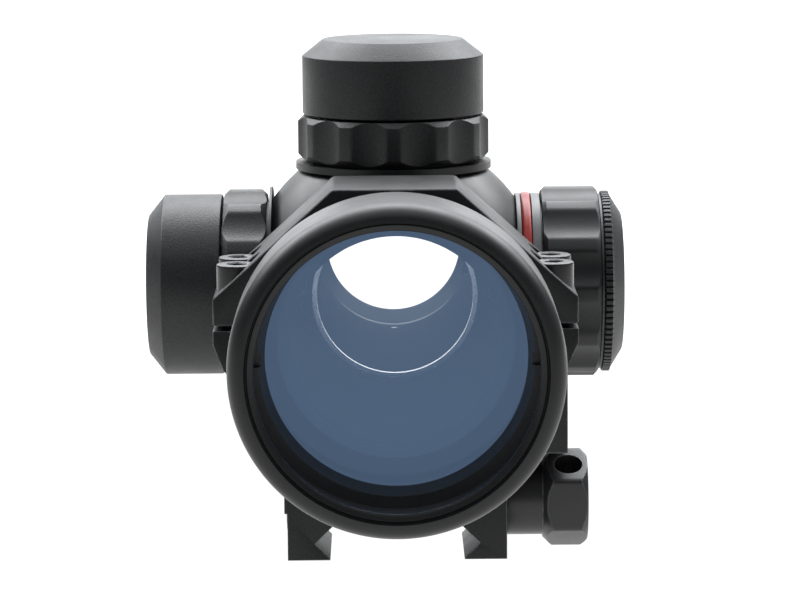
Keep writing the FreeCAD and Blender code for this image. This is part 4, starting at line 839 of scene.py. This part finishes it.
def accent_band():
    inner = BAND_SEAT_RADIUS + BAND_GAP
    start = BAND_SEAT_START + BAND_GAP
    end = BAND_SEAT_END - BAND_GAP
    profile = rounded([
        (inner, start, 0.1),
        (BAND_RADIUS, start, BAND_CROWN),
        (BAND_RADIUS, end, BAND_CROWN),
        (inner, end, 0.1),
    ], 6)
    band = lathe("accent_ring_band", profile, CROSS, "right", 192)
    finish_piece(band, "sight", RED, "red_band", "accent_ring")


def brightness_knob_at(angle):
    """The profile of the brightness knob at one angle, its bevels cut by the scallops into waves."""
    wall = scallop_radius(angle, DIAL_RADIUS, DIAL_PHASE)
    lost = DIAL_RADIUS - wall
    rise = DIAL_BEVEL - lost * DIAL_BEVEL_WAVE
    return rounded([
        (DIAL_SKIRT_BORE, DIAL_START),
        (DIAL_FACE_RADIUS, DIAL_START, 0.12),
        (wall, DIAL_START + rise, 0.12),
        (wall, DIAL_END - rise, 0.12),
        (DIAL_FACE_RADIUS - lost * DIAL_FACE_WAVE, DIAL_END, 0.12),
        (CAP_SEAT_RADIUS, DIAL_END),
        (CAP_SEAT_RADIUS, CELL_WELL_END),
        (CELL_WELL_RADIUS, CELL_WELL_END),
        (CELL_WELL_RADIUS, DIAL_WEB_END),
        (DIAL_WEB_HOLE, DIAL_WEB_END),
        (DIAL_WEB_HOLE, DIAL_WEB_START),
        (DIAL_POCKET_RADIUS, DIAL_WEB_START),
        (DIAL_POCKET_RADIUS, DIAL_SKIRT_END),
        (DIAL_SKIRT_BORE, DIAL_SKIRT_END),
    ], 3)


def brightness_knob():
    knob = shaped("brightness_knob_scalloped", brightness_knob_at, CROSS, "right", 360)
    finish_piece(knob, "dial", SATIN, "black_anodised", "brightness_knob")


def cap_collar():
    profile = rounded([
        (COLLAR_BORE, COLLAR_START),
        (COLLAR_RADIUS, COLLAR_START),
        (COLLAR_RADIUS, COLLAR_END),
        (COLLAR_BORE, COLLAR_END),
    ], 4, COLLAR_EDGE)
    ring = lathe("cap_collar_ring", profile, CROSS, "right", 192)
    finish_piece(ring, "dial", COLLAR_GREY, "bright_aluminium", "cap_collar")


def battery_cap_at(angle):
    """The profile of the battery cap at one angle, its rim cut by the knurling."""
    pitch = 2 * math.pi / KNURLS
    part = (angle % pitch) / pitch
    groove = max(0.0, 1.0 - abs(part - 0.5) * KNURL_STEEPNESS)
    rim = CAP_RADIUS - KNURL_DEPTH * groove
    return rounded([
        (CAP_SKIRT_BORE, CAP_SKIRT_START),
        (CAP_SKIRT_RADIUS, CAP_SKIRT_START, 0.1),
        (CAP_SKIRT_RADIUS, CAP_START),
        (rim - CAP_EDGE, CAP_START),
        (rim, KNURL_START),
        (rim, KNURL_END),
        (CAP_BEVEL_RADIUS, CAP_BEVEL_START, 0.05),
        (CAP_FACE_RADIUS, CAP_END, 0.3),
        (0.0, CAP_END),
        (0.0, CAP_HOLLOW_END),
        (CAP_SKIRT_BORE, CAP_HOLLOW_END),
    ], 3)


def battery_cap():
    cap = shaped("battery_cap_knurled", battery_cap_at, CROSS, "right", KNURLS * KNURL_SIDES)
    low = (-COIN_SLOT_HALF_LENGTH, -COIN_SLOT_HALF_WIDTH, COIN_SLOT_FLOOR)
    high = (COIN_SLOT_HALF_LENGTH, COIN_SLOT_HALF_WIDTH, COIN_SLOT_CUTTER_END)
    carve(cap, cutter_box("cap_slot_cutter", low, high, CROSS, "right"))
    finish_piece(cap, "cap", BLASTED, "black_anodised", "battery_cap")


# ---------------------------------------------------------------- ring mount and rail clamp
# Places are across, along and above the sight line at the mount's middle, in millimetres.

MOUNT_HALF = 8.0
TUBE_SEAT = 15.02
TUBE_SEAT_STEPS = 72
SPLIT_GAP = 0.3
EAR_X = 24.05
EAR_TOP = 3.9
EAR_BOTTOM = -2.2
FLAT_HALF = 8.2
FLAT_TOP = 18.3

SIDE_TOP = -5.4
SIDE_BOTTOM = -17.0
LEFT_SIDE_TOP_X = -22.8
LEFT_SIDE_BOTTOM_X = -14.95
LEFT_STEP = -24.9
SHOULDER_X = 22.6

HOOK_OUTER = 14.55
HOOK_TOE = 8.9
HOOK_BOTTOM = -31.2
HOOK_TOE_TOP = -31.05
RAIL_HALF = 10.95
RAIL_EDGE = -29.0
RAIL_TOP_HALF = 7.9
RAIL_TOP = -26.0

JAW_SLOT_START = 3.6
JAW_SLOT_END = 16.4
JAW_SLOT_TOP = -18.9
JAW_INNER = 4.8
JAW_TOP = -19.25
JAW_RAIL_TOP = -25.95

BOLT_LINE = Vector((0, MOUNT.y, BOLT.z))
BOLT_HOLE_RADIUS = 2.56
BOLT_HEAD_RADIUS = 4.28
BOLT_HEAD_START = -20.0
BOLT_HEAD_END = -12.55
JAW_HOLE_END = 20.0

SCREW_X = 20.9
SCREW_Y = 3.5
SCREW_HEAD_TOP = 8.02
SCREW_HEAD_RADIUS = 2.75
SCREW_HEAD_START = 4.62
SCREW_SHANK_RADIUS = 1.5
SCREW_SHANK_END = -4.5
SCREW_TIP = -4.6
SCREW_SEAT_RADIUS = 3.1
SCREW_SEAT_START = 4.6
SCREW_SEAT_CUTTER_END = 12.0
KEY_HALF_FLAT = 1.25
KEY_DEPTH = 1.7
KEY_TIP_DEPTH = 1.8
KEY_EDGE = 0.15
FIRST_KEY_DEG = 13
KEY_TURN_DEG = 41


def screw_places():
    return [(x, y) for x in (-SCREW_X, SCREW_X) for y in (-SCREW_Y, SCREW_Y)]


def split_angle():
    """Where the gap between the two halves meets the tube, in degrees above the middle."""
    return math.degrees(math.asin(SPLIT_GAP / TUBE_SEAT))


def rail_hook(side, top):
    """The hook that reaches round one edge of a rail, from its outer corner to the rail's top."""
    return [
        (side * HOOK_OUTER, HOOK_BOTTOM),
        (side * HOOK_TOE, HOOK_BOTTOM),
        (side * HOOK_TOE, HOOK_TOE_TOP),
        (side * RAIL_HALF, RAIL_EDGE),
        (side * RAIL_TOP_HALF, top),
    ]


def ring_cap():
    split = split_angle()
    outline = [(-EAR_X, SPLIT_GAP)] + arc(TUBE_SEAT, 180 - split, split, TUBE_SEAT_STEPS) + [
        (EAR_X, SPLIT_GAP),
        (EAR_X, EAR_TOP),
        (FLAT_HALF, FLAT_TOP),
        (-FLAT_HALF, FLAT_TOP),
        (-EAR_X, EAR_TOP),
    ]
    cap = plate("ring_cap_shell", outline, MOUNT_HALF, MOUNT)
    soften_edges(cap, 0.35, 3)
    seats = []
    for place in screw_places():
        seats.append(cutter_rod(
            "screw_seat_cutter", SCREW_SEAT_RADIUS, SCREW_SEAT_START, SCREW_SEAT_CUTTER_END,
            MOUNT, "up", place,
        ))
    carve(cap, *seats)
    finish_piece(cap, "sight", MOUNT_BLACK, "black_anodised", "ring_cap")


def mount_base():
    split = split_angle()
    left = [
        (-EAR_X, -SPLIT_GAP),
        (-EAR_X, EAR_BOTTOM),
        (LEFT_SIDE_TOP_X, SIDE_TOP),
        (LEFT_SIDE_BOTTOM_X, SIDE_BOTTOM),
        (LEFT_SIDE_BOTTOM_X, LEFT_STEP),
        (-HOOK_OUTER, LEFT_STEP),
    ]
    right = [
        (JAW_SLOT_START, RAIL_TOP),
        (JAW_SLOT_START, JAW_SLOT_TOP),
        (JAW_SLOT_END, JAW_SLOT_TOP),
        (JAW_SLOT_END, SIDE_BOTTOM),
        (SHOULDER_X, SIDE_BOTTOM),
        (SHOULDER_X, SIDE_TOP),
        (EAR_X, EAR_BOTTOM),
        (EAR_X, -SPLIT_GAP),
    ]
    seat = arc(TUBE_SEAT, -split, -180 + split, TUBE_SEAT_STEPS)
    outline = left + rail_hook(-1, RAIL_TOP) + right + seat
    base = plate("mount_base_shell", outline, MOUNT_HALF, MOUNT)
    soften_edges(base, 0.3, 3)
    head = cutter_rod(
        "bolt_head_cutter", BOLT_HEAD_RADIUS, BOLT_HEAD_START, BOLT_HEAD_END, BOLT_LINE, "right"
    )
    carve(base, head)
    finish_piece(base, "sight", MOUNT_BLACK, "black_anodised", "mount_base")


def clamp_jaw():
    outline = [
        (JAW_INNER, JAW_TOP),
        (HOOK_OUTER, JAW_TOP),
        *rail_hook(1, JAW_RAIL_TOP),
        (JAW_INNER, JAW_RAIL_TOP),
    ]
    jaw = plate("clamp_jaw_shell", outline, MOUNT_HALF, MOUNT)
    soften_edges(jaw, 0.35, 3)
    carve(jaw, cutter_rod("jaw_hole_cutter", BOLT_HOLE_RADIUS, 0.0, JAW_HOLE_END, BOLT_LINE, "right"))
    finish_piece(jaw, "jaw", MOUNT_BLACK, "black_anodised", "clamp_jaw")


def ring_screws():
    head_top = SCREW_HEAD_TOP
    for number, (x, y) in enumerate(screw_places(), start=1):
        phase = math.radians(FIRST_KEY_DEG + KEY_TURN_DEG * number)

        def screw_at(angle):
            key = hex_radius(angle, KEY_HALF_FLAT, phase)
            return rounded([
                (0.0, head_top - KEY_TIP_DEPTH),
                (key, head_top - KEY_DEPTH),
                (key, head_top - KEY_EDGE),
                (key + KEY_EDGE, head_top),
                (SCREW_HEAD_RADIUS, head_top, 0.32),
                (SCREW_HEAD_RADIUS, SCREW_HEAD_START, 0.1),
                (SCREW_SHANK_RADIUS, SCREW_HEAD_START, 0.05),
                (SCREW_SHANK_RADIUS, SCREW_SHANK_END, 0.2),
                (0.0, SCREW_TIP),
            ], 4)

        place = MOUNT + Vector((x, y, 0)) * MM
        screw = shaped("ring_screw_%d" % number, screw_at, place, "up", 96, 24.0)
        finish_piece(screw, "sight", OXIDE, "black_steel", "ring_screws")


# ---------------------------------------------------------------- clamp knob
# Radii are about the bolt's axis and heights are from the sight's middle, in millimetres.

HEX_CORNER = 6.6
HEX_HALF_FLAT = 5.8
HEX_PHASE = math.radians(30)
HEX_START = 19.5
HEX_END = 25.5
HEX_START_RADIUS = 5.3
HEX_START_BEVEL = 1.3
HEX_END_RADIUS = 5.65
HEX_END_BEVEL = 0.9
BOSS_RADIUS = 5.0
BOSS_START = 14.65
CLAMP_BORE_END = 20.6
CROSS_HOLE_RADIUS = 1.9
CROSS_HOLE_HEIGHT = 22.9
CROSS_HOLE_HALF = 12.0
CROSS_HOLE_ANGLE = math.radians(-150)


def hex_radius(angle, half_flat, phase):
    """How far a hexagon reaches at an angle; one flat faces the phase angle."""
    sixth = math.pi / 3
    offset = (angle - phase + sixth / 2) % sixth - sixth / 2
    return half_flat / math.cos(offset)


def clamp_knob_at(angle):
    """The profile of the clamp knob at one angle, its corners turned off and bevelled."""
    wall = min(HEX_CORNER, hex_radius(angle, HEX_HALF_FLAT, HEX_PHASE))
    lost = HEX_CORNER - wall
    return rounded([
        (0.0, CLAMP_BORE_END),
        (BOLT_HOLE_RADIUS, CLAMP_BORE_END),
        (BOLT_HOLE_RADIUS, BOSS_START, 0.1),
        (BOSS_RADIUS, BOSS_START, 0.25),
        (BOSS_RADIUS, HEX_START, 0.1),
        (HEX_START_RADIUS, HEX_START, 0.1),
        (wall, HEX_START + HEX_START_BEVEL - lost, 0.12),
        (wall, HEX_END - HEX_END_BEVEL + lost, 0.12),
        (HEX_END_RADIUS, HEX_END, 0.12),
        (0.0, HEX_END),
    ], 3)


def clamp_knob():
    knob = shaped("clamp_knob_hexagon", clamp_knob_at, BOLT, "right", 180, 24.0)
    turn = ALONG["right"]
    reach = turn @ Vector((math.cos(CROSS_HOLE_ANGLE), math.sin(CROSS_HOLE_ANGLE), 0))
    reach *= CROSS_HOLE_HALF * MM
    centre = BOLT + turn @ Vector((0, 0, CROSS_HOLE_HEIGHT * MM))
    carve(knob, rod_between("cross_hole_cutter", centre + reach, centre - reach, CROSS_HOLE_RADIUS))
    finish_piece(knob, "jaw_knob", OXIDE, "black_steel", "clamp_knob")


# ---------------------------------------------------------------- eyepiece end
# Radii are from the sight line and depths are behind the bell's front, in millimetres.

EYEPIECE_START = 100.4
EYEPIECE_NECK_END = 105.0
EYEPIECE_FLARE_END = 109.0
EYEPIECE_END = 123.2
EYEPIECE_RADIUS = 18.6
EYEPIECE_TUBE_BORE = 14.56
EYEPIECE_TUBE_BORE_END = 107.4
EYEPIECE_INNER_RADIUS = 14.35
EYEPIECE_STOP_RADIUS = 11.6
EYEPIECE_STOP_START = 113.4
EYEPIECE_STOP_END = 115.0
EYEPIECE_SEAT_RADIUS = 13.1
EYEPIECE_SEAT_END = 120.4
EYEPIECE_MOUTH_RADIUS = 14.2


def eyepiece():
    profile = rounded([
        (EYEPIECE_TUBE_BORE, EYEPIECE_START),
        (NECK_RADIUS, EYEPIECE_START, 0.3),
        (NECK_RADIUS, EYEPIECE_NECK_END, 1.0),
        (EYEPIECE_RADIUS, EYEPIECE_FLARE_END, 1.0),
        (EYEPIECE_RADIUS, EYEPIECE_END, 1.1),
        (EYEPIECE_MOUTH_RADIUS, EYEPIECE_END, 0.3),
        (EYEPIECE_MOUTH_RADIUS, EYEPIECE_SEAT_END),
        (EYEPIECE_SEAT_RADIUS, EYEPIECE_SEAT_END),
        (EYEPIECE_SEAT_RADIUS, EYEPIECE_STOP_END),
        (EYEPIECE_STOP_RADIUS, EYEPIECE_STOP_END),
        (EYEPIECE_STOP_RADIUS, EYEPIECE_STOP_START),
        (EYEPIECE_INNER_RADIUS, EYEPIECE_STOP_START),
        (EYEPIECE_INNER_RADIUS, EYEPIECE_TUBE_BORE_END),
        (EYEPIECE_TUBE_BORE, EYEPIECE_TUBE_BORE_END),
    ], 5)
    housing = lathe("eyepiece_housing_shell", profile, FRONT, "sight", 256)
    finish_piece(housing, "sight", SATIN, "black_anodised", "eyepiece_housing")


# ---------------------------------------------------------------- the object

objective_bell()
front_lens()
turret("elevation", "up")
turret("windage", "left")
switch_housing()
accent_band()
brightness_knob()
cap_collar()
battery_cap()
ring_cap()
mount_base()
clamp_jaw()
clamp_knob()
ring_screws()
eyepiece()

paint(CLEAR_GLASS, "objective_lens_inner", "inner_lens", "eyepiece_lens")
paint(SATIN, "main_tube", "eyepiece_retaining_ring")
paint(THREAD_BLACK, "objective_retaining_ring")
line_cad_node(INSIDE, "main_tube", TUBE_LINING_RADIUS)
paint(INSIDE, "inner_tube", "pivot_ring", "emitter_holder")
paint(BRIGHT, "inner_lens_ring")
paint(RUBBER, "objective_seal", "eyepiece_seal", "battery_cap_seal")
paint(STEEL, "outer_pivot_pins", "inner_pivot_pins", "lift_spring", "side_spring", "contact_spring")
paint(STEEL, "knob_clip", "switch_detent_ball", "switch_detent_spring", "jaw_pins")
paint(OXIDE, "cross_bolt")
paint(ACETAL, "switch_rotor")
paint(BOARD, "switch_board")
paint(DIODE, "emitter_diode")
paint(NICKEL, "coin_cell")
for side in ("elevation", "windage"):
    paint(SATIN, side + "_base", side + "_guide")
    paint(BRASS, side + "_click_ring", side + "_spindle")
    paint(STEEL, side + "_detent_ball", side + "_detent_spring", side + "_clip")


# ---------------------------------------------------------------- studio
# Distances are metres from the frame's origin, and angles of view are parts of a unit vector.

FLOOR_HALF = 6.0
FLOOR_DROP = 0.0002
FLOOR_DIM = 0.52
SHEET_NEAR = 0.54
SHEET_FAR = 1.2
SHEET_FRONT = (-0.42, -0.03)
SHEET_STEP = (0.08, 0.25)
SHEET_SIDE = (0.22, 0.90)
SHEET_BACK = (1.4, 3.2)
WEAVE_SCALE = 60.0
WEAVE = (0.985, 1.015)

ROOM_GLOW = 0.12
TOP_GLOW = 5.2
BACK_GLOW = 2.0
TOP_DIRECTION = (0.0, 0.22, 0.97)
TOP_EDGE = (0.42, 0.66)
TOP_BACK_EDGE = (0.58, 0.92)
TOP_BACK_LEVEL = 0.20
TOP_FRONT_EDGE = (-0.15, 0.60)
TOP_FRONT_LEVELS = (0.20, 1.60)
BACKDROP_EDGE = (0.45, 0.85)
BACKDROP_SIDE = (0.25, 0.55)
BACKDROP_SIDE_LEVEL = 0.12
COOL_WHITE = (0.955, 0.98, 1.0, 1.0)

CAMERA_PLACE = (-0.0014, -0.462, 0.0975)
CAMERA_DOWN_DEG = 8.5
CAMERA_YAW_DEG = -0.251
CAMERA_ROLL_DEG = -0.45
CAMERA_LENS = 157.5
CAMERA_SENSOR = 36.0
CAMERA_NEAR = 0.01
CAMERA_FAR = 50.0


def soft_step(tree, value, edge, before, after):
    """A smooth change from one level to another as a value crosses an edge's two ends."""
    made = tree.nodes.new("ShaderNodeMapRange")
    made.interpolation_type = "SMOOTHSTEP"
    made.inputs["From Min"].default_value = edge[0]
    made.inputs["From Max"].default_value = edge[1]
    made.inputs["To Min"].default_value = before
    made.inputs["To Max"].default_value = after
    tree.links.new(value, made.inputs["Value"])
    return made.outputs["Result"]


def glow_material(name):
    """A glowing floor: dim all round, brighter behind the object's front, with a faint weave."""
    material = bpy.data.materials.new(name)
    material.use_nodes = True
    tree = material.node_tree
    tree.nodes.clear()
    place = tree.nodes.new("ShaderNodeTexCoord").outputs["Object"]
    split = tree.nodes.new("ShaderNodeSeparateXYZ")
    tree.links.new(place, split.inputs["Vector"])
    front = soft_step(tree, split.outputs["Y"], SHEET_FRONT, 0.0, 1.0)
    back = soft_step(tree, split.outputs["Y"], SHEET_BACK, 1.0, 0.0)
    sideways = calculated(tree, "ABSOLUTE", split.outputs["X"])
    aside = soft_step(tree, sideways, SHEET_SIDE, 1.0, 0.0)
    lit = calculated(tree, "MULTIPLY", calculated(tree, "MULTIPLY", front, back), aside)
    sheet = soft_step(tree, split.outputs["Y"], SHEET_STEP, SHEET_NEAR, SHEET_FAR)
    level = calculated(tree, "ADD", calculated(tree, "MULTIPLY", lit, sheet), FLOOR_DIM)
    weave = tree.nodes.new("ShaderNodeTexNoise")
    weave.inputs["Scale"].default_value = WEAVE_SCALE
    tree.links.new(place, weave.inputs["Vector"])
    tint = tree.nodes.new("ShaderNodeMapRange")
    tint.inputs["To Min"].default_value = WEAVE[0]
    tint.inputs["To Max"].default_value = WEAVE[1]
    tree.links.new(weave.outputs["Fac"], tint.inputs["Value"])
    light = tree.nodes.new("ShaderNodeEmission")
    tree.links.new(tint.outputs["Result"], light.inputs["Color"])
    tree.links.new(level, light.inputs["Strength"])
    out = tree.nodes.new("ShaderNodeOutputMaterial")
    tree.links.new(light.outputs["Emission"], out.inputs["Surface"])
    return material


def studio_floor():
    height = FLOOR_Z - FLOOR_DROP
    turns = ((-1, -1), (1, -1), (1, 1), (-1, 1))
    corners = [(x * FLOOR_HALF, y * FLOOR_HALF, height) for x, y in turns]
    floor = new_object("floor", corners, [(0, 1, 2, 3)])
    floor.data.materials.append(glow_material("floor_paper"))


def studio_world():
    """A wide soft light overhead, a pale backdrop behind, and a dim room round about."""
    world = bpy.data.worlds.new("studio")
    bpy.context.scene.world = world
    world.use_nodes = True
    tree = world.node_tree
    tree.nodes.clear()
    place = tree.nodes.new("ShaderNodeTexCoord").outputs["Generated"]
    toward = tree.nodes.new("ShaderNodeVectorMath")
    toward.operation = "DOT_PRODUCT"
    toward.inputs[1].default_value = Vector(TOP_DIRECTION).normalized()
    tree.links.new(place, toward.inputs[0])
    split = tree.nodes.new("ShaderNodeSeparateXYZ")
    tree.links.new(place, split.inputs["Vector"])
    overhead = soft_step(tree, toward.outputs["Value"], TOP_EDGE, 0.0, TOP_GLOW)
    toward_back = soft_step(tree, split.outputs["Y"], TOP_BACK_EDGE, 1.0, TOP_BACK_LEVEL)
    toward_front = soft_step(tree, split.outputs["Y"], TOP_FRONT_EDGE, *TOP_FRONT_LEVELS)
    panel = calculated(tree, "MULTIPLY", calculated(tree, "MULTIPLY", overhead, toward_back), toward_front)
    sideways = calculated(tree, "ABSOLUTE", split.outputs["X"])
    narrow = soft_step(tree, sideways, BACKDROP_SIDE, 1.0, BACKDROP_SIDE_LEVEL)
    behind = soft_step(tree, split.outputs["Y"], BACKDROP_EDGE, 0.0, BACK_GLOW)
    backdrop = calculated(tree, "MULTIPLY", behind, narrow)
    most = calculated(tree, "MAXIMUM", calculated(tree, "MAXIMUM", panel, backdrop), ROOM_GLOW)
    back = tree.nodes.new("ShaderNodeBackground")
    back.inputs["Color"].default_value = COOL_WHITE
    tree.links.new(most, back.inputs["Strength"])
    out = tree.nodes.new("ShaderNodeOutputWorld")
    tree.links.new(back.outputs["Background"], out.inputs["Surface"])


def camera_turn(down_deg, yaw_deg, roll_deg):
    """A camera that looks along +Y, then down, aside and rolled."""
    down = Matrix.Rotation(math.radians(90 - down_deg), 3, "X")
    aside = Matrix.Rotation(math.radians(yaw_deg), 3, "Z")
    roll = Matrix.Rotation(math.radians(roll_deg), 3, "Z")
    return (aside @ down @ roll).to_euler()


def studio_camera():
    data = bpy.data.cameras.new("camera")
    data.lens = CAMERA_LENS
    data.sensor_width = CAMERA_SENSOR
    data.clip_start = CAMERA_NEAR
    data.clip_end = CAMERA_FAR
    camera = bpy.data.objects.new("camera", data)
    camera.location = CAMERA_PLACE
    camera.rotation_euler = camera_turn(CAMERA_DOWN_DEG, CAMERA_YAW_DEG, CAMERA_ROLL_DEG)
    bpy.context.scene.collection.objects.link(camera)
    bpy.context.scene.camera = camera


studio_floor()
studio_world()
studio_camera()

settings = bpy.context.scene.view_settings
settings.view_transform = "Standard"
settings.look = "None"
